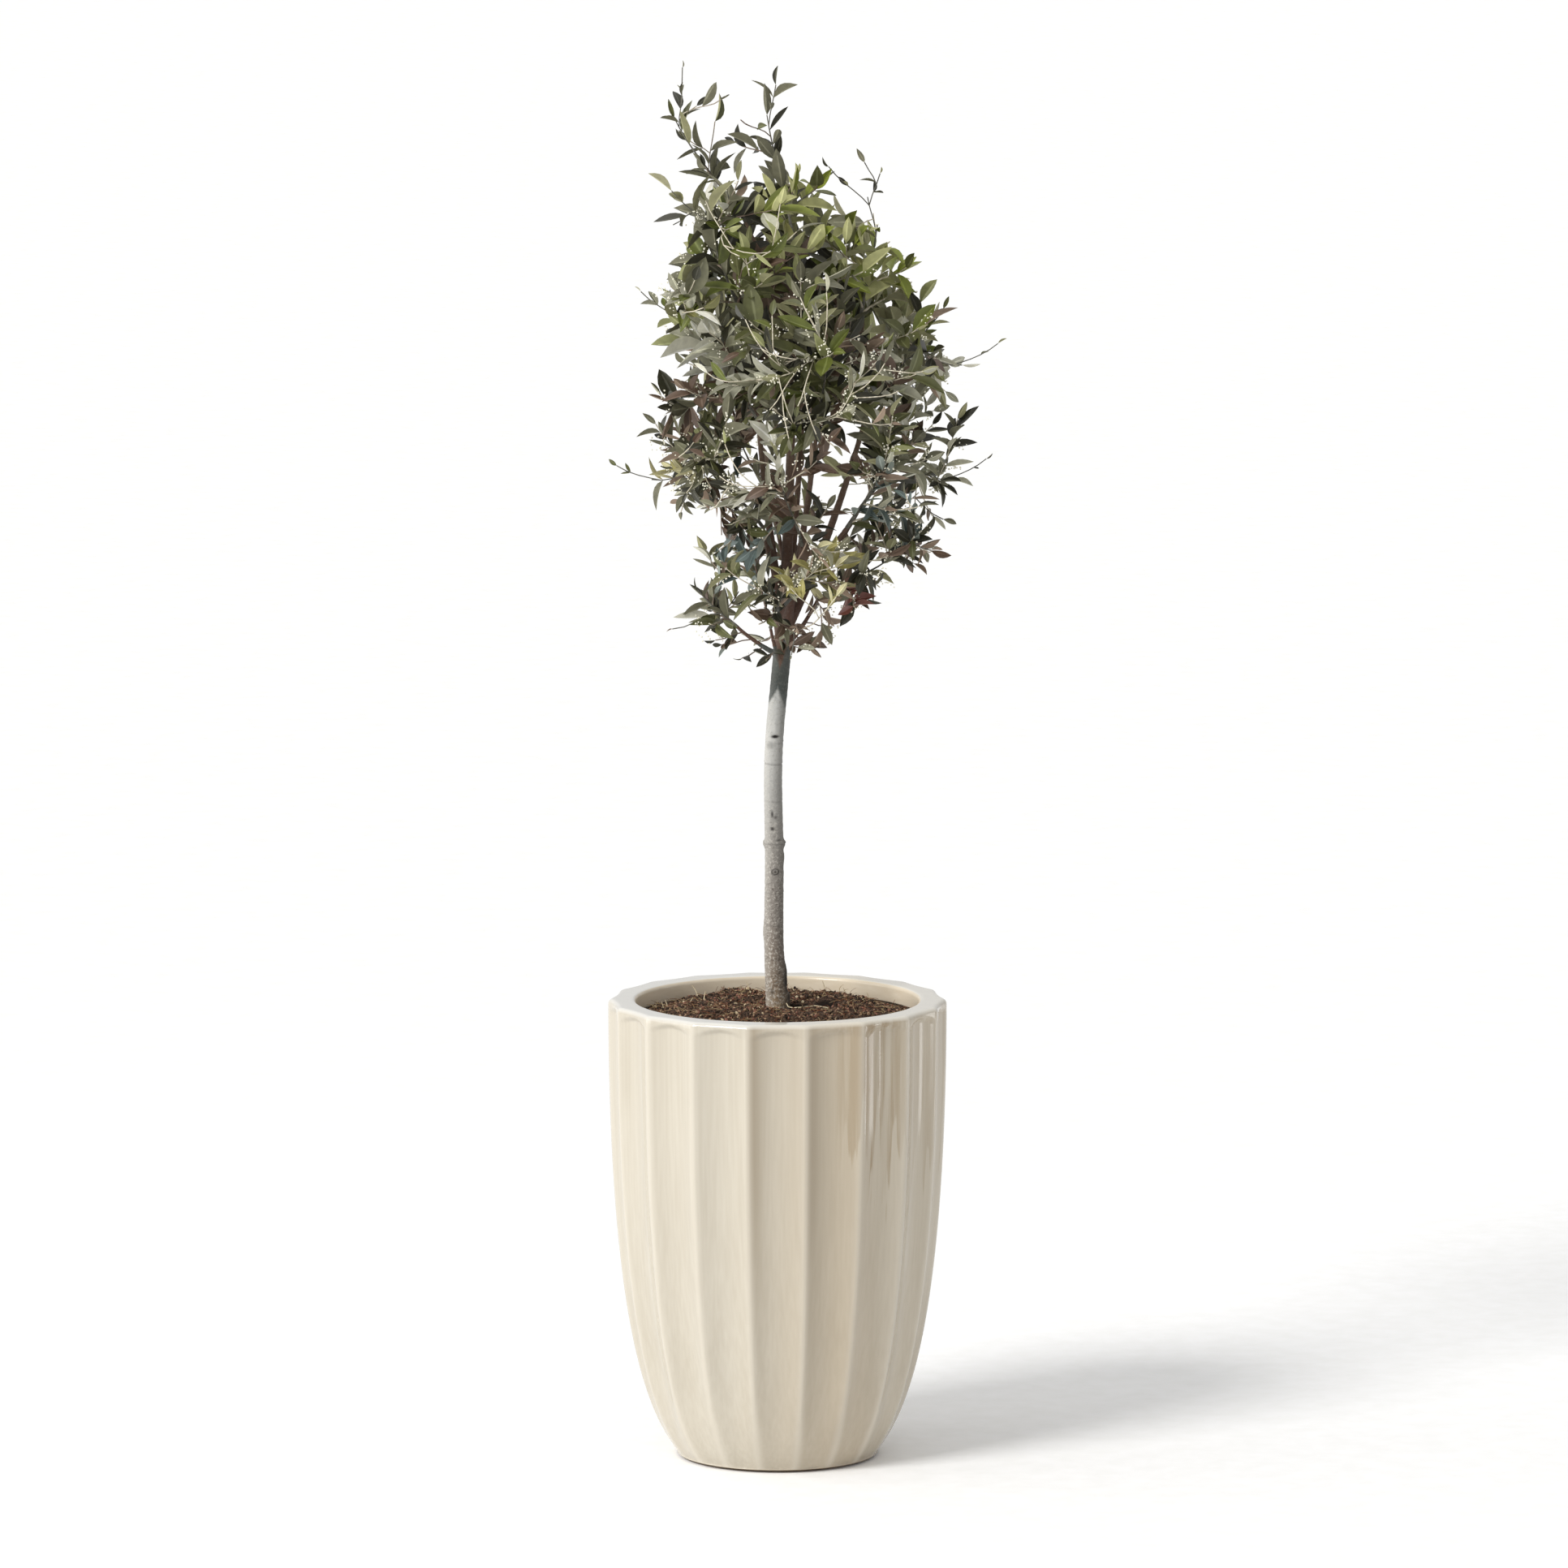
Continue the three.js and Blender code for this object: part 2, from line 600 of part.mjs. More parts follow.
function leafFits(leaf, own) {
  const tip = leaf.root.clone().addScaledVector(leaf.heading, leaf.length);
  const middle = leaf.root.clone().addScaledVector(leaf.heading, leaf.length * 0.42);
  const side = vec(0, 0, 0).crossVectors(leaf.heading, leaf.face);
  const edges = [-0.5, 0.5].map((s) => middle.clone().addScaledVector(side, leaf.width * s));
  const ridge = middle.clone().addScaledVector(leaf.face, leaf.length * 0.06 + LEAF_THICK);
  const outline = [tip, ridge, ...edges];
  if (!outline.every((p) => inSpace(p, own))) return false;
  if (!insideCrown(tip, leaf.long ? -STAND_OUT : 0)) return false;
  return clearOfLimbs(leaf.root, tip, leaf.width / 2);
}

// A leaf that doesn't fit is tried smaller. It may meet only the twig it grows on.
const TRIED_SIZES = [1, 0.78, 0.6];
const ROOT_OVERLAP = 0.4; // cubic millimetres

function leafThatFits(leaf, own, grown) {
  for (const size of TRIED_SIZES) {
    const tried = { ...leaf, length: leaf.length * size, width: leaf.width * size };
    if (!leafFits(tried, own)) continue;
    const shape = leafSolid(tried);
    if (grown.intersect(shape).volume() < ROOT_OVERLAP) return shape;
  }
  return null;
}

function growMass(own) {
  const random = chance(own + 1);
  const twigs = growTwigs(own).map((twig) => {
    const curve = new THREE.CatmullRomCurve3(twig.points);
    return { ...twig, curve, shape: twigSolid(twig, curve) };
  });
  let grown = wasm.Manifold.union(twigs.map(({ shape }) => shape));
  for (const twig of twigs)
    for (const leaf of leavesOn(twig, twig.curve, random)) {
      const shape = leafThatFits(leaf, own, grown);
      if (shape) grown = grown.add(shape);
    }
  const { spaced } = limbCurves.get(MASSES[own].on);
  return geometryOf(mainBody(grown.subtract(spaced)));
}

addPart("pot", potGeometry(), GLAZE);
addPart("compost", compostGeometry(), COMPOST);
growLimbs();
sampleLimbs();
MASSES.forEach((mass, own) => addPart(`foliage_${mass.on}`, growMass(own), FOLIAGE));

export default root;
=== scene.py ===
# %% [markdown]
# # A potted olive tree
# A young olive is grown as a standard: one bare stem, a tall loose crown on top, and a fluted, cream
# glazed pot filled with compost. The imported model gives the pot, the stem, the boughs and a coarse
# mass of leaves on each bough, all in metres. This lesson dresses them. It keeps every size, and makes
# what the eye looks for: soft ridges in the glaze, crumbs and fibres in the compost, scars on the
# bark, and some 2,600 narrow leaves on fine twigs.

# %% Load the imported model
from math import cos, exp, floor, hypot, pi, radians, sin, sqrt

import bmesh
import bpy
import numpy as np
from mathutils import Matrix, Vector, noise


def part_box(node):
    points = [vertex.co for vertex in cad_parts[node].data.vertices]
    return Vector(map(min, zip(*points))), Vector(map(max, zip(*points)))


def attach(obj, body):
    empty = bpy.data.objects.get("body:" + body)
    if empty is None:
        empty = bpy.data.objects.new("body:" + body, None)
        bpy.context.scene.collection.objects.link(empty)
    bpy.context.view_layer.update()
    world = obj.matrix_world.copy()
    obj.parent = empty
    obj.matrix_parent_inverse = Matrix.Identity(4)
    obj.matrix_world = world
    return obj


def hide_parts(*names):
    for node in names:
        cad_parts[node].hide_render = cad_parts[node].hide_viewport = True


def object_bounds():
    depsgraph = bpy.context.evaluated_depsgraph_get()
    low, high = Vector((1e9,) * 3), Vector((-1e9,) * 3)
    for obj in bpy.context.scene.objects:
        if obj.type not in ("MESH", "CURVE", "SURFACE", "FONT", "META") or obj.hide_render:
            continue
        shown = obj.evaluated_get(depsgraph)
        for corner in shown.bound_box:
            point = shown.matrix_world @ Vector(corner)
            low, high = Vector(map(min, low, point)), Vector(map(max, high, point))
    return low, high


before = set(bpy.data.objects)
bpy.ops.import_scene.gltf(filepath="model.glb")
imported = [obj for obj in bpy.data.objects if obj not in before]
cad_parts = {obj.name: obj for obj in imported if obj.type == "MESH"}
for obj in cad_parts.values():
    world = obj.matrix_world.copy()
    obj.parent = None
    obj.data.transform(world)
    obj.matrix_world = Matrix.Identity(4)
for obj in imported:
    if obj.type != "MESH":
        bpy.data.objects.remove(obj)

cad_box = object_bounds()
print("CAD box", cad_box)

# %% [markdown]
# ## Helpers
# Three small tools serve every step. One turns a colour as it is written on a paint card, in sRGB,
# into the linear light that a shader works with. One adds a shader node with its settings and links.
# One makes a mesh a finished piece of the tree, which rides on the model's one body.

# %% Colours, nodes and pieces
def paint(code):
    """An sRGB colour such as "#DED3C1" as linear red, green, blue and alpha."""
    shares = [int(code[k:k + 2], 16) / 255 for k in (1, 3, 5)]
    return tuple(s / 12.92 if s <= 0.04045 else ((s + 0.055) / 1.055) ** 2.4 for s in shares) + (1.0,)


def add(tree, kind, inputs, **settings):
    """Add a node. An input is a value, or another node's output socket, which is linked."""
    made = tree.nodes.new("ShaderNode" + kind)
    for name, value in settings.items():
        setattr(made, name, value)
    for name, value in inputs.items():
        if isinstance(value, bpy.types.NodeSocket):
            tree.links.new(value, made.inputs[name])
        else:
            made.inputs[name].default_value = value
    return made


# A Mix node lists its sockets for every kind of data, so its colours are found by number
MIX_FACTOR, MIX_FIRST, MIX_SECOND, MIX_RESULT = 0, 6, 7, 2


def finish_material(name, tree_maker, **shader_values):
    """A material whose tree_maker(tree) gives the links into its Principled shader."""
    material = bpy.data.materials.new(name)
    material.use_nodes = True
    tree = material.node_tree
    shader = tree.nodes["Principled BSDF"]
    for socket, value in shader_values.items():
        shader.inputs[socket.replace("_", " ")].default_value = value
    for socket, link in tree_maker(tree).items():
        tree.links.new(link, shader.inputs[socket])
    material.diffuse_color = shader.inputs["Base Color"].default_value
    return material


def keep_piece(name, mesh, materials, slot, *nodes):
    """Show a mesh as a piece that rides with the tree and stands for the model's nodes."""
    for material in materials:
        mesh.materials.append(material)
    piece = bpy.data.objects.new(name, mesh)
    bpy.context.scene.collection.objects.link(piece)
    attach(piece, "root")
    if nodes:
        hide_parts(*nodes)
    faces = sum(len(face.vertices) - 2 for face in mesh.polygons)
    print(f"{name}: {faces} triangles")


def mesh_from(bm, name):
    mesh = bpy.data.meshes.new(name)
    bm.to_mesh(mesh)
    bm.free()
    return mesh


def smoothstep(x, low, high):
    t = min(max((x - low) / (high - low), 0), 1)
    return t * t * (3 - 2 * t)


MM = 0.001

# %% [markdown]
# ## The pot's shape
# The planter is slip-cast stoneware. Its 18 flutes are shallow hollows pressed into a round body, so
# the ridges between them keep the body's own radius. The glaze is thick and rounds each ridge off.
# One could model a single flute and repeat it, but then every flute would need to meet its neighbour.
# It is simpler to spin the whole profile, foot, wall, lip and inside, and then to press the flutes in
# by moving each outer vertex towards the axis.

# %% The pot's profile
pot_high = Vector(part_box("pot")[1])
POT_HEIGHT = pot_high.z
POT_RADIUS = pot_high.x
FOOT_RADIUS = 119 * MM
FOOT_HEIGHT = 3 * MM
LIP_WIDTH = 36 * MM
LIP_DEPTH = 24 * MM
LIP_ROUND = 7 * MM
INNER_ROUND = 5 * MM
WALL = 28 * MM
POT_FLOOR = 30 * MM
# The flutes end in arches within this band under the lip
ARCH_BAND = 34 * MM
SIDE_RINGS = 42
ARCH_RINGS = 14

# The side over the ridges is one Bezier curve from the foot to the lip: (radius, height)
SIDE_CURVE = [(127 * MM, 0), (160 * MM, 40 * MM), (POT_RADIUS, 130 * MM), (POT_RADIUS, POT_HEIGHT)]


def bezier(points, t):
    shares = ((1 - t) ** 3, 3 * t * (1 - t) ** 2, 3 * t * t * (1 - t), t ** 3)
    return [sum(share * point[k] for share, point in zip(shares, points)) for k in (0, 1)]


side_table = np.array([bezier(SIDE_CURVE, k / 400) for k in range(401)])


def side_radius(z):
    return float(np.interp(z, side_table[:, 1], side_table[:, 0]))


def corner(centre, radius, first, last, steps):
    """Points on a rounded corner, from one angle to another in degrees."""
    angles = [radians(first + (last - first) * k / steps) for k in range(steps + 1)]
    return [(centre[0] + radius * cos(a), centre[1] + radius * sin(a)) for a in angles]


def pot_profile():
    """The edge of the pot cut in half: from the middle of its foot, over the lip, to its floor."""
    glaze_start = 2 * FOOT_HEIGHT
    body_top = POT_HEIGHT - LIP_ROUND
    # More rings where the side curves most, near the foot
    arch_start = POT_HEIGHT - ARCH_BAND
    side = arch_start - glaze_start
    heights = [glaze_start + side * (k / SIDE_RINGS) ** 1.35 for k in range(SIDE_RINGS)]
    # And close rings under the lip, where each flute ends in an arch
    heights += [arch_start + (body_top - arch_start) * k / ARCH_RINGS for k in range(ARCH_RINGS)]
    outside = [(side_radius(z), z) for z in heights]
    lip_radius = POT_RADIUS - LIP_WIDTH
    inner_wall = side_radius(POT_HEIGHT - LIP_DEPTH) - WALL
    step = POT_HEIGHT - LIP_DEPTH
    return (
        [(0, 0), (FOOT_RADIUS - 4 * MM, 0)]
        + corner((FOOT_RADIUS - 1 * MM, 1 * MM), 1 * MM, -90, 0, 2)
        + [(FOOT_RADIUS, FOOT_HEIGHT)]
        + corner((side_radius(glaze_start) - 3 * MM, glaze_start), 3 * MM, -90, -15, 3)
        + outside
        + corner((POT_RADIUS - LIP_ROUND, body_top), LIP_ROUND, 0, 90, 7)
        + [(POT_RADIUS - LIP_WIDTH * share, POT_HEIGHT) for share in (0.32, 0.46, 0.6, 0.74)]
        + corner((lip_radius + INNER_ROUND, POT_HEIGHT - INNER_ROUND), INNER_ROUND, 90, 180, 5)
        + [(lip_radius, step + 9 * MM)]
        + corner((lip_radius + 2 * MM, step + 2 * MM), 2 * MM, 180, 270, 3)
        + [(inner_wall, step - 2 * MM)]
        + [(side_radius(z) - WALL, z) for z in (500 * MM, 400 * MM, 300 * MM, 200 * MM, 120 * MM)]
        + [(side_radius(60 * MM) - WALL, 60 * MM), (120 * MM, POT_FLOOR), (0, POT_FLOOR)]
    )


profile = pot_profile()
print("pot profile points:", len(profile))

# %% Press the flutes
FLUTES = 18
FLUTE_STEPS = 20
FLUTE_HOLLOW = 7.5 * MM
FLUTE_FADE = 150 * MM
# How far below the lip a flute's arch is at its sides, how much higher it is in the middle, and the
# height over which the hollow fades there, and by which share
ARCH_SIDE = 23 * MM
ARCH_RISE = 9 * MM
ARCH_FADE = 8 * MM
ARCH_SHARE = 0.75
RIDGE_ROUND = 3.5 * MM
FOOT_SOFTNESS = 16 * MM
# Painted shade in a band beside the right of each ridge: its width, its share near the foot, and the
# heights that it grows between
RIDGE_SHADE_WIDTH = 17 * MM
RIDGE_SHADE_LEAST = 0.15
RIDGE_SHADE_HEIGHTS = (120 * MM, 460 * MM)
# A turn too small to see, which counts a place on a ridge to the ridge's right
RIDGE_NUDGE = 0.0001
half_flute = pi / FLUTES


def flute_share(angle, radius, z):
    """Where a place lies across its flute: 0 in the middle, 1 on the rounded ridge."""
    across = abs((angle % (2 * half_flute)) - half_flute)
    to_ridge = (half_flute - across) * radius
    whole = half_flute * radius
    softness = RIDGE_ROUND + FOOT_SOFTNESS * (1 - smoothstep(z, 15 * MM, 100 * MM))
    rounded = (hypot(to_ridge, softness) - softness) * whole / (hypot(whole, softness) - softness)
    return 1 - rounded / whole


def ridge_shade_share(angle, radius, z):
    """How much painted shade lies here, in a band along the right of each ridge, most near the top."""
    from_ridge = ((angle + RIDGE_NUDGE) % (2 * half_flute)) * radius
    amount = RIDGE_SHADE_LEAST + (1 - RIDGE_SHADE_LEAST) * smoothstep(z, *RIDGE_SHADE_HEIGHTS)
    return exp(-(from_ridge / RIDGE_SHADE_WIDTH) ** 2) * amount


def flute_depth(share, radius, z):
    """How far the side is pressed in: to the flat between two ridges, and hollowed beyond it."""
    flat = radius * (1 - cos(half_flute) / cos(share * half_flute))
    arch = POT_HEIGHT - ARCH_SIDE + ARCH_RISE * (1 - share ** 2)
    top_fade = 1 - ARCH_SHARE * smoothstep(z, arch, arch + ARCH_FADE)
    hollow = FLUTE_HOLLOW * smoothstep(z, 0, FLUTE_FADE) * top_fade
    return flat + hollow * (1 - share ** 2)


def make_pot():
    """Spin the profile, press the flutes in, and note where the glaze is thin and where painted shade goes.
    """
    bm = bmesh.new()
    rim = [bm.verts.new((0, -radius, z)) for radius, z in profile]
    edges = [bm.edges.new(pair) for pair in zip(rim, rim[1:])]
    bmesh.ops.spin(
        bm, geom=rim + edges, cent=(0, 0, 0), axis=(0, 0, 1), angle=2 * pi,
        steps=FLUTES * FLUTE_STEPS, use_merge=True,
    )
    bmesh.ops.remove_doubles(bm, verts=bm.verts, dist=0.01 * MM)
    ridge = bm.verts.layers.float.new("ridge")
    pool = bm.verts.layers.float.new("pool")
    for vert in bm.verts:
        x, y, z = vert.co
        radius = hypot(x, y)
        outer = smoothstep(radius, side_radius(z) - 0.8 * LIP_WIDTH, side_radius(z) - 0.15 * LIP_WIDTH)
        # The bare foot and the inside aren't fluted
        if z < 1.5 * FOOT_HEIGHT or outer == 0 or z < POT_HEIGHT - LIP_ROUND and outer < 1:
            continue
        angle = np.arctan2(y, x) + pi / 2 - half_flute
        share = flute_share(angle, radius, z)
        kept = 1 - outer * flute_depth(share, radius, z) / radius
        vert.co = (x * kept, y * kept, z)
        vert[ridge] = share ** 14 * outer
        # Painted shade: a dark band along the right of each ridge
        vert[pool] = ridge_shade_share(angle, radius, z) * outer
    bmesh.ops.recalc_face_normals(bm, faces=bm.faces)
    # Bare clay under the foot, and the paler glaze inside
    for face in bm.faces:
        middle = face.calc_center_median()
        face.smooth = True
        if middle.z < 1.4 * FOOT_HEIGHT:
            face.material_index = 1
        elif middle.xy.length < side_radius(middle.z) - 0.7 * WALL and middle.z < POT_HEIGHT - 1 * MM:
            face.material_index = 2
    return mesh_from(bm, "pot")


# %% [markdown]
# ## The glaze
# It is a cream, clear-bright stoneware glaze, poured on and fired. The eye gets three things from it:
# a wet gloss whose reflections wander because the coat is uneven, a paler line where it runs thin over
# each ridge, and faint vertical runs and brownish curtains where it pooled as it ran down. The runs
# are noise that is stretched along the height. Painted shade darkens the coat towards the right and beside
# each ridge, and painted light makes the lip paler. The bare ring at the foot is unglazed clay.

# %% Glaze and bare clay
# How wide the runs, the fine combing, the curtains, their streaks and the coat's slow waves are
RUN_WIDTH = 16 * MM
COMB_WIDTH = 4 * MM
CURTAIN_WIDTH = 12 * MM
STREAK_WIDTH = 13 * MM
UNEVEN = 60 * MM
DRIP_SOFTNESS = 15 * MM
# From here on, places to the left or right of the pot's middle. The curtains begin and thin out again
# between these places, and end between these heights.
CURTAIN_SIDE = (60 * MM, 125 * MM)
CURTAIN_FALL = (135 * MM, 165 * MM)
CURTAIN_ENDS = (330 * MM, 500 * MM)
# Painted shade: the dark lines beside the ridges set in between the first two places and weaken between
# the others
RIDGE_SHADE_START = (-62 * MM, -30 * MM)
RIDGE_SHADE_END = (90 * MM, 112 * MM)
# Painted shade: the coat is painted darker and warmer towards the right, rising between these places and
# falling to half between those
PAINTED_SHADE_SIDE = (-60 * MM, 70 * MM)
PAINTED_SHADE_FADE = (104 * MM, 140 * MM)


def stretched_noise(tree, width, tall, detail=3.0, roughness=0.5):
    """Noise in object space that is `tall` times as high as it is wide."""
    place = add(tree, "TexCoord", {})
    squeeze = add(tree, "Mapping", {"Vector": place.outputs["Object"], "Scale": (1, 1, 1 / tall)})
    return add(
        tree, "TexNoise",
        {"Vector": squeeze.outputs["Vector"], "Scale": 1 / width, "Detail": detail, "Roughness": roughness},
    )


def between_levels(tree, value, low, high, least=0.0, most=1.0):
    """A share that grows from least to most as the value goes from low to high."""
    return add(
        tree, "MapRange",
        {"Value": value, "From Min": low, "From Max": high, "To Min": least, "To Max": most},
    ).outputs["Result"]


def blend(tree, share, first, second):
    """The colour between two, each a paint code or another node's colour."""
    pair = [paint(colour) if isinstance(colour, str) else colour for colour in (first, second)]
    mix = add(
        tree, "Mix", {MIX_FACTOR: share, MIX_FIRST: pair[0], MIX_SECOND: pair[1]}, data_type="RGBA",
    )
    return mix.outputs[MIX_RESULT]


def product(tree, first, second):
    return add(tree, "Math", {0: first, 1: second}, operation="MULTIPLY").outputs["Value"]


def glaze_tree(tree):
    place = add(tree, "TexCoord", {})
    sides = add(tree, "SeparateXYZ", {"Vector": place.outputs["Object"]})
    x, z = sides.outputs["X"], sides.outputs["Z"]
    # Cream at the left, and painted shade towards the right, darker and warmer, with fine combed runs
    rise = between_levels(tree, x, *PAINTED_SHADE_SIDE, 0, 0.8)
    painted_shade_share = product(tree, rise, between_levels(tree, x, *PAINTED_SHADE_FADE, 1, 0.5))
    runs = stretched_noise(tree, RUN_WIDTH, 14)
    cream = blend(tree, runs.outputs["Fac"], "#CAC3B4", "#BEB6A6")
    painted_shade_tone = blend(tree, runs.outputs["Fac"], "#BAAD98", "#AEA08A")
    combed = stretched_noise(tree, COMB_WIDTH, 60, 2.0)
    fine = between_levels(tree, combed.outputs["Fac"], 0.35, 0.65, 0, 0.14)
    coat = blend(tree, fine, blend(tree, painted_shade_share, cream, painted_shade_tone), "#A0937D")
    # Painted shade: a darker line beside the right of each ridge
    ridge_shade_node = add(tree, "Attribute", {}, attribute_name="pool")
    from_left = between_levels(tree, x, *RIDGE_SHADE_START)
    to_right = between_levels(tree, x, *RIDGE_SHADE_END, 1, 0.3)
    line = product(tree, ridge_shade_node.outputs["Fac"], product(tree, from_left, to_right))
    ridge_shaded = blend(tree, line, coat, "#9B8D77")
    # Brownish curtains that ran down at the right, in streaks, and ended in drips
    lengths = stretched_noise(tree, CURTAIN_WIDTH, 400, 2.0)
    ends = between_levels(tree, lengths.outputs["Fac"], 0.35, 0.65, *CURTAIN_ENDS)
    above = add(tree, "Math", {0: z, 1: ends}, operation="SUBTRACT")
    drip = between_levels(tree, above.outputs["Value"], 0, DRIP_SOFTNESS)
    starts = between_levels(tree, x, *CURTAIN_SIDE)
    where = product(tree, starts, between_levels(tree, x, *CURTAIN_FALL, 1, 0.35))
    amount = product(tree, drip, where)
    streaks = stretched_noise(tree, STREAK_WIDTH, 30, 3.0, 0.6)
    density = between_levels(tree, streaks.outputs["Fac"], 0.42, 0.58, 0.1, 0.75)
    pooled = blend(tree, product(tree, amount, density), ridge_shaded, "#8C744F")
    # A pale line where it ran thin over each ridge
    ridge = add(tree, "Attribute", {}, attribute_name="ridge")
    ridged = blend(tree, between_levels(tree, ridge.outputs["Fac"], 0, 1, 0, 0.5), pooled, "#D6CFC1")
    # Painted light: the lip's top is painted paler, and a little warmer on the right with the painted shade
    lip = blend(tree, painted_shade_share, "#DFDDD7", "#DDD5C4")
    painted_light_lip_share = between_levels(tree, z, POT_HEIGHT - 6 * MM, POT_HEIGHT - 0.5 * MM)
    colour = blend(tree, painted_light_lip_share, ridged, lip)
    wander = stretched_noise(tree, UNEVEN, 3, 2.0)
    bump = add(tree, "Bump", {"Height": wander.outputs["Fac"], "Strength": 0.35, "Distance": 1.2 * MM})
    return {"Base Color": colour, "Normal": bump.outputs["Normal"]}


def inside_tree(tree):
    """The inside took a thicker, whiter coat, with a faint ring at each pass of the dipping."""
    rings = stretched_noise(tree, 30 * MM, 0.2)
    return {"Base Color": blend(tree, rings.outputs["Fac"], "#EADFCB", "#D6C6AC")}


def clay_tree(tree):
    """Unglazed clay is matt and gritty, and draws a brown line between the pot and the floor."""
    grit = stretched_noise(tree, 1.5 * MM, 1)
    bump = add(tree, "Bump", {"Height": grit.outputs["Fac"], "Strength": 0.4, "Distance": 0.3 * MM})
    return {
        "Base Color": blend(tree, grit.outputs["Fac"], "#6E5C48", "#8C7860"),
        "Normal": bump.outputs["Normal"],
    }


glaze = finish_material(
    "cream_stoneware_glaze", glaze_tree, Base_Color=paint("#C2B9AA"), Roughness=0.1, IOR=1.52,
)
inner_glaze = finish_material(
    "pale_inner_glaze", inside_tree, Base_Color=paint("#E8DECB"), Roughness=0.2, IOR=1.5,
)
bare_clay = finish_material(
    "bare_stoneware_clay", clay_tree, Base_Color=paint("#7A6853"), Roughness=0.85, IOR=1.5,
)
keep_piece("fluted_pot", make_pot(), [glaze, bare_clay, inner_glaze], "glaze", "pot")

# %% [markdown]
# ## Compost
# Potting compost is a peat and bark mix: dark, crumbly, with reddish coir fibres and a few pale
# roots. A displaced surface alone looks like felt, so the bed only gives the heap and its hollows,
# and crumbs and fibres are strewn over it as small real shapes that catch the light.

# %% The bed of compost
soil_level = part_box("trunk")[0][2]
SOIL_STEM_DROP = 12 * MM
SOIL_EDGE_DROP = 36 * MM
SOIL_DEPTH = 60 * MM
BED_STEPS = 300
BED_RINGS = 80
soil_rim = side_radius(POT_HEIGHT - SOIL_EDGE_DROP) - WALL - 0.3 * MM
# A low ring of heaped compost: its height, its distance from the stem, and how far it spreads
MOUND_HEIGHT = 6 * MM
MOUND_RADIUS = 95 * MM
MOUND_SPREAD = 42 * MM
# Lumps and two sizes of grain: how many there are in a metre, and their height
LUMPS = (28, 8 * MM)
FINE_GRAINS = (260, 2.2 * MM)
COARSE_GRAINS = (110, 2.4 * MM)
# Hollows beside the stem, each below a low bank: centre and half sizes in millimetres
HOLLOWS = [(27, 0, 15, 9), (60, -2, 17, 8), (101, 27, 17, 8)]
HOLLOW_DEPTH = 11 * MM
BANK_HEIGHT = 4 * MM


def from_hollow(x, y, hollow):
    """Distance from a hollow's centre, 1 at its ragged edge."""
    across, back, half_wide, half_deep = hollow
    ragged = 0.28 * noise.noise(Vector((x, y, 5)) * 70)
    return hypot((x / MM - across) / half_wide, (y / MM - back) / half_deep) + ragged


def soil_height(x, y):
    """The compost's level: heaped at the stem, lower at the wall, lumpy, and sunk at the hollows."""
    radius = hypot(x, y)
    share = min(radius / soil_rim, 1)
    heap = soil_level - (SOIL_EDGE_DROP - SOIL_STEM_DROP) * share ** 4.5
    mound = MOUND_HEIGHT * exp(-((radius - MOUND_RADIUS) / MOUND_SPREAD) ** 2)
    rough = noise.fractal(Vector((x, y, 0.3)) * LUMPS[0], 1.0, 2.0, 3)
    lumps = rough * LUMPS[1] * smoothstep(radius, 15 * MM, 60 * MM)
    sunk, bank = 0, 0
    for hollow in HOLLOWS:
        sunk += 1 - smoothstep(from_hollow(x, y, hollow), 0.72, 1.12)
        bank += 1 - smoothstep(from_hollow(x, y - 18 * MM, hollow), 0.6, 1.9)
        bank -= 0.6 * (1 - smoothstep(from_hollow(x, y + 14 * MM, hollow), 0.6, 1.9))
    return heap + mound + lumps - HOLLOW_DEPTH * sunk + BANK_HEIGHT * bank * (1 - sunk)


def in_hollow(place):
    """How far a place is inside a hollow, where the compost is painted dark as painted shade."""
    return max(1 - smoothstep(from_hollow(place.x, place.y, hollow), 0.95, 1.3) for hollow in HOLLOWS)


def make_bed():
    bm = bmesh.new()
    low = soil_level - SOIL_DEPTH
    spokes = [(0, low), (soil_rim, low)]
    spokes += [(soil_rim * (1 - k / BED_RINGS), soil_level) for k in range(BED_RINGS + 1)]
    line = [bm.verts.new((0, -radius, z)) for radius, z in spokes]
    edges = [bm.edges.new(pair) for pair in zip(line, line[1:])]
    bmesh.ops.spin(
        bm, geom=line + edges, cent=(0, 0, 0), axis=(0, 0, 1), angle=2 * pi, steps=BED_STEPS, use_merge=True,
    )
    bmesh.ops.remove_doubles(bm, verts=bm.verts, dist=0.01 * MM)
    damp = bm.verts.layers.float.new("damp")
    for vert in bm.verts:
        if vert.co.z < low + 1 * MM:
            continue
        # Painted shade: how dark the hollows are painted
        vert[damp] = in_hollow(vert.co)
        x, y = vert.co.xy
        fine = noise.noise(Vector((x, y, 0)) * FINE_GRAINS[0]) * FINE_GRAINS[1]
        coarse = noise.noise(Vector((x, y, 2)) * COARSE_GRAINS[0]) * COARSE_GRAINS[1]
        vert.co.z = soil_height(x, y) + fine + coarse
    bmesh.ops.recalc_face_normals(bm, faces=bm.faces)
    for face in bm.faces:
        face.smooth = True
    return mesh_from(bm, "compost_bed")


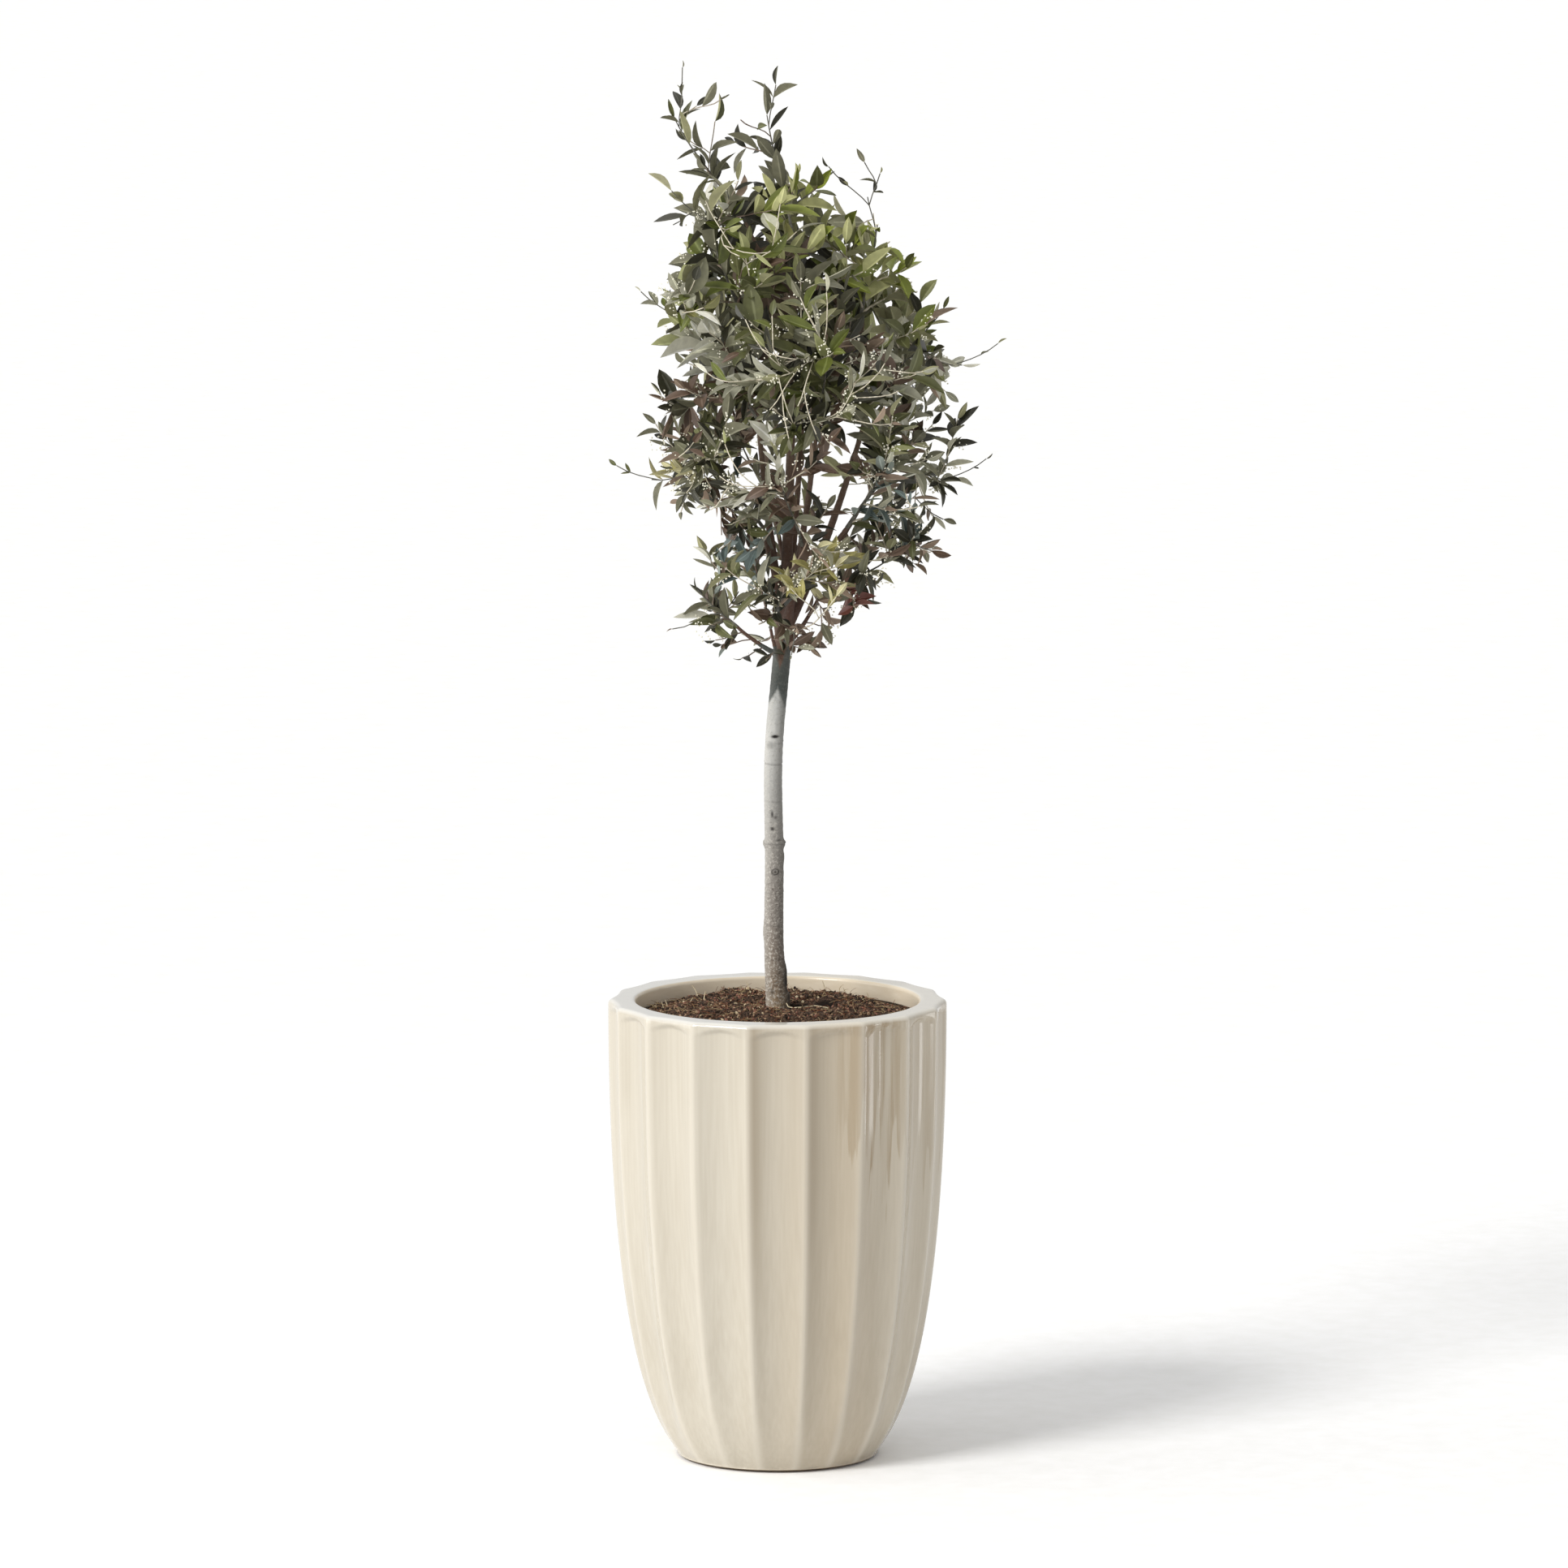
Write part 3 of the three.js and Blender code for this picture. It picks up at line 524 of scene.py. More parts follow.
# %% Chance and joined copies
class Chance:
    """The same numbers each time for the same seed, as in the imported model's own rule."""

    def __init__(self, seed):
        self.state = (seed * 2654435 + 12345) % 4294967296
        self.next()
        self.next()

    def next(self):
        self.state = (self.state * 1664525 + 1013904223) % 4294967296
        return self.state / 4294967296

    def between(self, low, high):
        return low + (high - low) * self.next()

    def deal(self, shares):
        """A number dealt by its share of all."""
        pick = self.next()
        for number, share in enumerate(shares):
            pick -= share
            if pick < 0:
                return number
        return 0

    def direction(self):
        z = self.between(-1, 1)
        angle = self.between(0, 2 * pi)
        flat = sqrt(1 - z * z)
        return Vector((flat * cos(angle), flat * sin(angle), z))


def shape_arrays(bm):
    """A small shape's points, triangles, material number by triangle, and rib share by point."""
    bmesh.ops.triangulate(bm, faces=bm.faces)
    bm.verts.index_update()
    rib = bm.verts.layers.float.get("rib")
    ribs = np.array([vert[rib] if rib else 0 for vert in bm.verts])
    points = np.array([vert.co for vert in bm.verts])
    faces = np.array([[vert.index for vert in face.verts] for face in bm.faces])
    numbers = np.array([face.material_index for face in bm.faces])
    bm.free()
    return points, faces, numbers, ribs


def joined_copies(name, copies):
    """One mesh of many placed shapes. copies: (shape arrays, 4x4 matrix, number of first material)."""
    points, faces, numbers, ribs = [], [], [], []
    count = 0
    for (shape_points, shape_faces, shape_numbers, shape_ribs), matrix, first in copies:
        placed = np.array(matrix)
        points.append(shape_points @ placed[:3, :3].T + placed[:3, 3])
        faces.append(shape_faces + count)
        numbers.append(shape_numbers + first)
        ribs.append(shape_ribs)
        count += len(shape_points)
    mesh = bpy.data.meshes.new(name)
    mesh.from_pydata(np.concatenate(points).tolist(), [], np.concatenate(faces).tolist())
    mesh.polygons.foreach_set("material_index", np.concatenate(numbers).astype(np.int32))
    layer = mesh.attributes.new("rib", "FLOAT", "POINT")
    layer.data.foreach_set("value", np.concatenate(ribs).astype(np.float32))
    return mesh


def frame_matrix(origin, along, across, scale=(1, 1, 1)):
    """Places a shape at origin with its X along one direction and its Y as near as may be to another."""
    x = along.normalized()
    z = x.cross(across).normalized()
    y = z.cross(x)
    turn = Matrix((x * scale[0], y * scale[1], z * scale[2])).transposed()
    return Matrix.Translation(origin) @ turn.to_4x4()


# %% Crumbs
CRUMBS = 9600
CRUMB_SIZES = (0.7 * MM, 2.6 * MM)
# How the five finishes are dealt, from dark peat to pale wood
CRUMB_SHARES = [0.34, 0.3, 0.17, 0.15, 0.04]
CRUMB_SHAPES = 5
CRUMB_DENTS = (0.6, 1.15)
# Nothing is strewn nearer to the stem's middle than this
STEM_CLEAR = 17 * MM


def bead_shape(seed, dents):
    """A bead of twenty faces, whose corners are moved in and out between two shares of its radius."""
    bm = bmesh.new()
    bmesh.ops.create_icosphere(bm, subdivisions=1, radius=1)
    chance = Chance(seed)
    for vert in bm.verts:
        vert.co *= chance.between(*dents)
    bmesh.ops.recalc_face_normals(bm, faces=bm.faces)
    return shape_arrays(bm)


def on_compost(chance, margin=3 * MM):
    """A place strewn evenly on the compost, clear of the stem."""
    while True:
        radius = (soil_rim - margin) * sqrt(chance.next())
        angle = chance.between(0, 2 * pi)
        place = Vector((radius * cos(angle), radius * sin(angle), 0))
        if radius > STEM_CLEAR and in_hollow(place) < 0.3:
            place.z = soil_height(place.x, place.y)
            return place


def make_crumbs():
    """Flattened crumbs, most of them small, each sunk a little into the bed."""
    chance = Chance(40)
    shapes = [bead_shape(50 + k, CRUMB_DENTS) for k in range(CRUMB_SHAPES)]
    copies = []
    for k in range(CRUMBS):
        size = CRUMB_SIZES[0] + (CRUMB_SIZES[1] - CRUMB_SIZES[0]) * chance.next() ** 2.6
        matrix = frame_matrix(
            on_compost(chance) + Vector((0, 0, 0.3 * size)), chance.direction(), chance.direction(),
            (size * 1.3, size, size * 0.8),
        )
        copies.append((shapes[k % len(shapes)], matrix, chance.deal(CRUMB_SHARES)))
    return joined_copies("crumbs", copies)


# %% Fibres and roots
COIR_FIBRES = 1200
STRAWS = 800
FIBRE_LENGTHS = (6 * MM, 19 * MM)
FIBRE_STEPS = 5
# Each step of a fibre is thinner by this share of its radius
FIBRE_TAPER = 0.12
STALK_LENGTHS = (11 * MM, 18 * MM)
STALK_RADIUS = 0.9 * MM
ROOT_RADIUS = 0.8 * MM
# Where the stalks stand, across and back, in millimetres
STALKS = [
    (-152, 18), (-147, 26), (-143, 8), (-116, 44), (-104, 62), (-96, 30),
    (-36, 102), (24, 118), (62, 112), (90, 92), (120, 66),
]
# The root's path: across, back, and above the compost, in millimetres
ROOT = [(11, -8, 9), (14, -14, 5), (20, -19, 3.6), (34, -20, 3.6), (50, -18, 3.8), (66, -17, 2)]


def tube_mesh(name, lines, roundness):
    """Tubes through lists of (point, radius), as one mesh made by a bevelled curve. Each has four
    sides, and two more for each step of roundness."""
    curve = bpy.data.curves.new(name, "CURVE")
    curve.dimensions = "3D"
    curve.bevel_depth = 1
    curve.bevel_resolution = roundness
    curve.use_fill_caps = True
    for line in lines:
        spline = curve.splines.new("POLY")
        spline.points.add(len(line) - 1)
        for point, (place, radius) in zip(spline.points, line):
            point.co = (*place, 1)
            point.radius = radius
    holder = bpy.data.objects.new(name, curve)
    bpy.context.scene.collection.objects.link(holder)
    bpy.context.view_layer.update()
    mesh = bpy.data.meshes.new_from_object(holder.evaluated_get(bpy.context.evaluated_depsgraph_get()))
    bpy.data.objects.remove(holder)
    bpy.data.curves.remove(curve)
    mesh.name = name
    mesh.materials.clear()
    return mesh


def fibre_line(start, heading, length, radius, sag):
    """A curved fibre that leaves along its heading and sags to lie on the compost."""
    line = []
    place = Vector(start)
    heading = Vector(heading).normalized()
    for k in range(FIBRE_STEPS + 1):
        line.append((place.copy(), radius * (1 - FIBRE_TAPER * k)))
        heading = (heading + sag).normalized()
        place = place + heading * length / FIBRE_STEPS
    return line


def make_fibres(name, seed, count, widths):
    """Fibres strewn on the compost, which lie nearly flat."""
    chance = Chance(seed)
    lines = []
    for _ in range(count):
        heading = chance.direction()
        heading.z = abs(heading.z) * 0.35
        sag = chance.direction() * 0.3
        sag.z = -0.1
        start = on_compost(chance, 6 * MM) + Vector((0, 0, 0.8 * MM))
        length = chance.between(*FIBRE_LENGTHS)
        lines.append(fibre_line(start, heading, length, chance.between(*widths) * MM, sag))
    return tube_mesh(name, lines, 0)


def make_stalks():
    """The few fibres that stand up from the compost, and the pale root along the hollow."""
    chance = Chance(42)
    lines = []
    for across, back in STALKS:
        x, y = across * MM, back * MM
        start = Vector((x, y, soil_height(x, y) - 1 * MM))
        lean = Vector((chance.between(-0.3, 0.3), chance.between(-0.3, 0.3), 1))
        bend = chance.direction() * 0.12
        lines.append(fibre_line(start, lean, chance.between(*STALK_LENGTHS), STALK_RADIUS, bend))
    root = []
    for across, back, rise in ROOT:
        x, y = across * MM, back * MM
        root.append((Vector((x, y, soil_height(x, y) + rise * MM)), ROOT_RADIUS))
    lines.append(root)
    return tube_mesh("pale_roots", lines, 1)


# %% Compost colours
def grainy(first, second, grain, depth):
    """The nodes of a matt, granular finish in two colours."""

    def tree_maker(tree):
        grit = stretched_noise(tree, grain, 1, 4.0, 0.6)
        sharper = between_levels(tree, grit.outputs["Fac"], 0.35, 0.65)
        bump = add(tree, "Bump", {"Height": grit.outputs["Fac"], "Strength": 0.6, "Distance": depth})
        return {"Base Color": blend(tree, sharper, first, second), "Normal": bump.outputs["Normal"]}

    return tree_maker


def compost_material(name, first, second):
    return finish_material(
        name, grainy(first, second, 2.5 * MM, 1 * MM), Base_Color=paint(second), Roughness=0.95, IOR=1.4,
    )


def bed_tree(tree):
    """Peat in lumps of a few millimetres, painted darker down in the hollows as painted shade."""
    grit = stretched_noise(tree, 3.5 * MM, 1, 4.0, 0.7)
    lumps = between_levels(tree, grit.outputs["Fac"], 0.38, 0.62)
    damp = add(tree, "Attribute", {}, attribute_name="damp")
    bump = add(tree, "Bump", {"Height": grit.outputs["Fac"], "Strength": 0.8, "Distance": 2 * MM})
    # Painted shade: the hollows are painted near black
    colour = blend(tree, damp.outputs["Fac"], blend(tree, lumps, "#140D08", "#5F4939"), "#1A120C")
    return {"Base Color": colour, "Normal": bump.outputs["Normal"]}


# Damp peat drinks the light, so the heap stays the darkest thing in the pot, and its hollows are painted
# near black as painted shade
peat = finish_material("peat_with_painted_hollow_shade", bed_tree, Base_Color=paint("#453023"), Roughness=0.95, IOR=1.4)
# Peat and bark crumbs break the bed into dull brown grains, and wood crumbs are its few pale glints
crumb_finishes = [
    compost_material("dark_peat_crumb", "#1B120C", "#402F22"),
    compost_material("brown_peat_crumb", "#422E21", "#765D4A"),
    compost_material("red_bark_crumb", "#643F2F", "#9A7060"),
    compost_material("tan_bark_crumb", "#80654B", "#B4987E"),
    compost_material("pale_wood_crumb", "#B8A47F", "#DCCDB0"),
]
# Coir is a reddish thread over the peat, straw a paler one, and the bare root the palest line of all
coir = compost_material("red_brown_coir", "#5A3423", "#8A5A3C")
straw = compost_material("tan_straw", "#8C7650", "#C2AC84")
root_skin = compost_material("pale_root_skin", "#BBAA88", "#DDD0B2")

keep_piece("compost_bed", make_bed(), [peat], "compost", "compost")
keep_piece("compost_crumbs", make_crumbs(), crumb_finishes, "compost", "compost")
coir_mesh = make_fibres("coir_fibres", 41, COIR_FIBRES, (0.22, 0.5))
straw_mesh = make_fibres("straws", 43, STRAWS, (0.25, 0.45))
keep_piece("compost_fibres", coir_mesh, [coir], "compost", "compost")
keep_piece("compost_straws", straw_mesh, [straw], "compost", "compost")
keep_piece("compost_roots", make_stalks(), [root_skin], "compost", "compost")

# %% [markdown]
# ## The crown's own rule
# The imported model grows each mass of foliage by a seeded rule: the crown is a list of widths at
# heights, each mass owns the space nearest to its heart, and shoots reach from the best fork to
# targets that are scattered evenly there. The same rule is written again here, so twigs start where
# the limbs end and stay within the same reach. It is then carried on to many more targets, which
# gives the fine twigs that a solid for printing can't have.

# %% The stem's centre line
TRUNK_HEIGHT = 507 * MM
TRUNK_FOOT = 12.6 * MM
TRUNK_TOP = 10.4 * MM
ROOT_FLARE = 4.5 * MM
FORK_SWELL = 3 * MM


def trunk_centre(share):
    """The stem leans to the right by 8 mm at its top, bends to the left halfway, and wavers a little."""
    x = 8 * share ** 3 - 6.5 * sin(pi * share) - 1.5 * sin(12 * share)
    y = 3 * sin(5 * share) * share
    return Vector((x * MM, y * MM, soil_level + TRUNK_HEIGHT * share))


def trunk_radius(share):
    flare = ROOT_FLARE * exp(-max(share, 0) * 22)
    fork = FORK_SWELL * exp(-(1 - share) * 30)
    return TRUNK_FOOT + (TRUNK_TOP - TRUNK_FOOT) * sqrt(max(share, 0)) + flare + fork


# %% The crown's outline
CROWN_TOP = 1.826
# Reach to the left and right of the stem's line, at heights above the ground
CROWN = [
    (1.030, 0.012, 0.014), (1.066, 0.092, 0.066), (1.110, 0.132, 0.112), (1.175, 0.108, 0.206),
    (1.250, 0.150, 0.226), (1.300, 0.176, 0.250), (1.330, 0.180, 0.258), (1.440, 0.176, 0.264),
    (1.530, 0.178, 0.222), (1.610, 0.134, 0.170), (1.665, 0.140, 0.112), (1.730, 0.156, 0.034),
    (1.800, 0.146, 0.026), (1.830, 0.122, 0.016),
]
crown_z, crown_left, crown_right = (np.array(column) for column in zip(*CROWN))


def crown_at(z):
    """The crown's middle and its half width at a height."""
    left = float(np.interp(z, crown_z, crown_left))
    right = float(np.interp(z, crown_z, crown_right))
    return (right - left) / 2, (right + left) / 2


def outness(place):
    middle, half = crown_at(place.z)
    return hypot(place.x - middle, place.y) / half


def across_crown(place):
    """From -1 at the crown's left edge to 1 at its right edge."""
    middle, half = crown_at(place.z)
    return (place.x - middle) / half


def inside_crown(place, margin):
    if place.z < CROWN[0][0] or place.z > CROWN_TOP - max(margin, 0):
        return False
    middle, half = crown_at(place.z)
    return hypot(place.x - middle, place.y) < half - margin


def crown_place(degrees, out, z):
    """A place on a tier of the crown, by direction and by how far out it is."""
    middle, half = crown_at(z)
    angle = radians(degrees)
    return Vector((middle + half * out * cos(angle), half * out * sin(angle), z))


# %% The limbs' centre lines
# Each limb: the limb it leaves, at which share of it, where it ends, and its radii in millimetres
LIMBS = {
    "leader": ("trunk", 1.0, (60, 0.05, 1.575), 8.5, 3.4),
    "left": ("trunk", 0.985, (188, 0.3, 1.360), 7.2, 3.2),
    "right": ("trunk", 0.97, (2, 0.34, 1.365), 7.4, 3.2),
    "front": ("trunk", 0.955, (278, 0.34, 1.350), 6.6, 3.0),
    "back": ("trunk", 0.94, (95, 0.36, 1.360), 6.8, 3.0),
    "mid_left": ("left", 0.25, (206, 0.38, 1.225), 4.4, 2.6),
    "mid_right": ("right", 0.28, (24, 0.4, 1.240), 4.6, 2.6),
    "mid_front_left": ("front", 0.22, (258, 0.36, 1.205), 4.2, 2.6),
    "mid_front_right": ("front", 0.3, (312, 0.42, 1.228), 4.4, 2.6),
    "mid_back": ("back", 0.28, (128, 0.4, 1.235), 4.4, 2.6),
    "low_left": ("trunk", 0.91, (184, 0.42, 1.092), 3.8, 2.4),
    "low_right": ("trunk", 0.925, (356, 0.36, 1.128), 3.8, 2.4),
    "low_front": ("trunk", 0.885, (272, 0.36, 1.096), 3.4, 2.2),
    "low_back": ("trunk", 0.9, (84, 0.38, 1.108), 3.6, 2.2),
    "shoulder_left": ("leader", 0.62, (206, 0.42, 1.508), 4.2, 2.6),
    "shoulder_right": ("leader", 0.56, (24, 0.4, 1.490), 4.4, 2.6),
    "top_left": ("leader", 0.86, (180, 0.38, 1.618), 3.2, 2.2),
}
LIMB_POINTS = 60
# A limb's line is pulled towards a place at this share of its way out and of its way up
BEND_OUT = 0.55
BEND_UP = 0.38
# It is wider by this share where it leaves its parent
COLLAR_SHARE = 0.3


class Limb:
    """A tapering limb: evenly spaced points, with a radius at each."""

    def __init__(self, points, radius_at):
        steps = [0.0]
        for a, b in zip(points, points[1:]):
            steps.append(steps[-1] + (b - a).length)
        self.points = points
        self.length = steps[-1]
        self.shares = [step / self.length for step in steps]
        self.radius_at = radius_at

    def at(self, share):
        columns = [np.interp(share, self.shares, [p[k] for p in self.points]) for k in range(3)]
        return Vector([float(value) for value in columns])

    def heading(self, share):
        low, high = max(share - 0.01, 0), min(share + 0.01, 1)
        return (self.at(high) - self.at(low)).normalized()

    def line(self):
        return [(point, self.radius_at(share)) for point, share in zip(self.points, self.shares)]


def grow_limb(start, end, foot, tip):
    """A limb leaves its parent at an angle, then turns upwards."""
    control = start + Vector((end.x - start.x, end.y - start.y, 0)) * BEND_OUT
    control.z += (end.z - start.z) * BEND_UP
    points = []
    for k in range(LIMB_POINTS + 1):
        t = k / LIMB_POINTS
        points.append(start * (1 - t) ** 2 + control * (2 * t * (1 - t)) + end * t * t)
    return Limb(points, lambda s: (foot + (tip - foot) * s ** 0.8 + COLLAR_SHARE * foot * exp(-14 * s)) * MM)


TRUNK_BELOW = 0.03
trunk_points = [trunk_centre(-TRUNK_BELOW + (1 + TRUNK_BELOW) * k / 160) for k in range(161)]
limbs = {"trunk": Limb(trunk_points, trunk_radius)}
for name, (parent, share, end, foot, tip) in LIMBS.items():
    limbs[name] = grow_limb(limbs[parent].at(share), crown_place(*end), foot, tip)
print("limbs:", len(limbs), "longest:", round(max(limb.length for limb in limbs.values()), 3), "m")

# %% [markdown]
# ## Stem and boughs
# The stem is young olive bark: smooth, thin and grey, warmer and rougher at the foot, with the marks
# of pruned shoots. The stem and all boughs are one piece, because on a tree they are one: tubes along
# the limbs' lines are fused by a voxel remesh, which gives each fork its web of bark, and the relief
# of knots, rings and scars is then pushed into that skin.

# %% Fuse the limbs
VOXEL = 1.3 * MM
SMOOTHINGS = 4


def fused_limbs():
    """The tubes of all limbs as one skin, smoothed."""
    mesh = tube_mesh("limbs", [limb.line() for limb in limbs.values()], 6)
    holder = bpy.data.objects.new("limbs", mesh)
    bpy.context.scene.collection.objects.link(holder)
    remesh = holder.modifiers.new("fuse", "REMESH")
    remesh.mode = "VOXEL"
    remesh.voxel_size = VOXEL
    bpy.context.view_layer.update()
    fused = bpy.data.meshes.new_from_object(holder.evaluated_get(bpy.context.evaluated_depsgraph_get()))
    bpy.data.objects.remove(holder)
    bpy.data.meshes.remove(mesh)
    bm = bmesh.new()
    bm.from_mesh(fused)
    bpy.data.meshes.remove(fused)
    for _ in range(SMOOTHINGS):
        bmesh.ops.smooth_vert(
            bm, verts=bm.verts, factor=0.5, use_axis_x=True, use_axis_y=True, use_axis_z=True,
        )
    return bm


# %% Marks on the stem
# Each mark: height, direction in degrees from the front to the right, half width and half height in
# millimetres, how far it stands out (below zero it is sunk), and how dark it is
MARKS = [
    (0.947, 4, 4.6, 1.9, -1.8, 1.6),
    (0.957, 2, 9, 7, 0.9, 0.0),
    (0.936, -24, 6, 5, 0.7, 0.35),
    (0.845, -8, 1.6, 4.5, -0.8, 0.9),
    (0.841, 14, 2.2, 2.2, -0.5, 0.7),
    (0.826, -8, 2.6, 2.4, -0.9, 0.95),
    (0.806, 84, 6, 5, 3.0, 0.35),
    (0.806, -86, 6, 5, 2.6, 0.2),
    (0.811, 34, 3.4, 1.2, -0.6, 0.7),
    (0.788, 80, 5, 7, 1.0, 0.1),
    (0.770, 6, 4.4, 4.4, 0.8, 0.0),
    (0.690, -80, 7, 12, 1.4, 0.0),
    (0.688, 30, 4, 3, 0.4, 0.0),
    (0.626, 66, 4, 18, 1.8, 0.95),
    (0.640, 84, 5, 12, 2.0, 1.0),
    (0.604, 84, 6, 9, 3.2, 0.85),
    (0.612, -20, 3, 4, -0.5, 0.5),
    (0.625, 8, 4, 1, -0.4, 0.45),
    (0.900, 170, 5, 4, 0.8, 0.4),
    (0.740, 160, 4, 3, -0.9, 0.9),
    (0.870, -120, 4, 3, -0.8, 0.8),
]
# Knots with an eye: height, direction, radius in millimetres of the dark ring round the eye
EYES = [(0.770, 6, 3.7)]
# Rings left by each season's end bud: height and depth in millimetres
RINGS = [(0.911, 0.55), (0.939, 0.3), (0.862, 0.25), (0.806, 0.5), (0.742, 0.25), (0.700, 0.2), (0.655, 0.3)]


def stem_relief(place, share):
    """How far the bark stands out here, in metres, and how dark the mark is."""
    centre = trunk_centre(share)
    angle = np.degrees(np.arctan2(place.x - centre.x, -(place.y - centre.y)))
    out, dark = 0.0, 0.0
    for height, side, wide, high, relief, shade in MARKS:
        rise = (place.z - height) / (high * MM)
        if abs(rise) > 2.5:
            continue
        turned = radians((angle - side + 180) % 360 - 180) * TRUNK_TOP / (wide * MM)
        weight = exp(-(turned ** 2 + rise ** 2) ** 1.3)
        out += relief * MM * weight
        dark = max(dark, min(shade * weight, 1))
    # A dark ring round a dark dot
    for height, side, ring in EYES:
        turned = radians((angle - side + 180) % 360 - 180) * TRUNK_TOP / MM
        apart = hypot(turned, (place.z - height) / MM)
        dark = max(dark, 0.85 * exp(-((apart - ring) / 0.9) ** 2), exp(-((apart / 1.5) ** 2)))
    # A groove below a low ridge, a little tilted
    tilt = 1.2 * MM * sin(radians(angle) + 1)
    for height, depth in RINGS:
        rise = (place.z - height + tilt) / (1.1 * MM)
        if abs(rise) < 6:
            out += depth * MM * (0.8 * exp(-((rise - 1.7) ** 2)) - exp(-(rise ** 2)))
            dark = max(dark, 0.6 * depth * exp(-(rise ** 2)))
    return out, dark


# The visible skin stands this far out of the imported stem, for its bark, which thins out between these
# distances below the fork
BARK_THICKNESS = 1.1 * MM
BARK_ENDS = (60 * MM, 30 * MM)
# The bark's grain: how many ridges there are in a metre, their height, and how much more it is at the
# foot, up to this height
BARK_GRAIN = 190
BARK_ROUGH = 0.28 * MM
FOOT_ROUGH = 0.5 * MM
FOOT_REACH = 100 * MM


# The dark collar starts and ends at these heights in the middle of the front, and starts this much
# lower and ends this much higher at the stem's sides
COLLAR_START, COLLAR_END = 1.010, 1.036
COLLAR_DROP, COLLAR_RISE = 0.026, 0.05


def collar_level(place, share):
    """The height that the bark's colour is read at: its collar is pointed above and below."""
    centre = trunk_centre(share)
    across = min(abs(place.x - centre.x + 1.5 * MM) / trunk_radius(share), 1)
    pale_end = COLLAR_START - COLLAR_DROP * across
    brown_start = COLLAR_END + COLLAR_RISE * across
    ends = [0, pale_end - 0.003, pale_end + 0.004, brown_start - 0.005, brown_start + 0.006, 3]
    return float(np.interp(place.z, ends, [0, 0.985, 1.003, 1.030, 1.042, 3]))


def make_bark():
    """Push knots, rings and grain into the skin, and note its scars, its height and which side gets painted
    light.
    """
    bm = fused_limbs()
    bm.normal_update()
    scar = bm.verts.layers.float.new("scar")
    level = bm.verts.layers.float.new("level")
    sunny = bm.verts.layers.float.new("sunny")
    top = trunk_centre(1).z
    moves = []
    for vert in bm.verts:
        place = vert.co
        share = (place.z - soil_level) / TRUNK_HEIGHT
        low = 1 - smoothstep(place.z, soil_level, soil_level + FOOT_REACH)
        rough = noise.fractal(place * BARK_GRAIN, 0.8, 2.0, 3) * (BARK_ROUGH + FOOT_ROUGH * low)
        out, dark, colour_level = 0.0, 0.0, place.z
        if place.z < top - BARK_ENDS[1]:
            out, dark = stem_relief(place, share)
            out += BARK_THICKNESS * (1 - smoothstep(place.z, top - BARK_ENDS[0], top - BARK_ENDS[1]))
            colour_level = collar_level(place, share)
        vert[scar] = dark
        vert[level] = colour_level
        # Painted light and shade: how far the skin faces the left, from -1 to 1
        vert[sunny] = -vert.normal.x
        moves.append((vert, vert.normal * (rough + out)))
    for vert, move in moves:
        vert.co += move
    for face in bm.faces:
        face.smooth = True
    return mesh_from(bm, "stem_and_boughs")


# %% Bark
# Colours up the stem: height and colour. The pale band near 0.93 m is partly a painted highlight.
BARK_BANDS = [
    (0.590, "#82705A"), (0.640, "#82766A"), (0.700, "#827B74"), (0.790, "#8B8781"),
    (0.870, "#A2A19D"), (0.930, "#B2B1AD"), (0.985, "#9FA09D"), (1.003, "#3F4442"),
    (1.030, "#4A4D49"), (1.042, "#5C4436"), (1.110, "#5A4238"), (1.400, "#6E5C4C"),
]
BARK_SPAN = 1.0


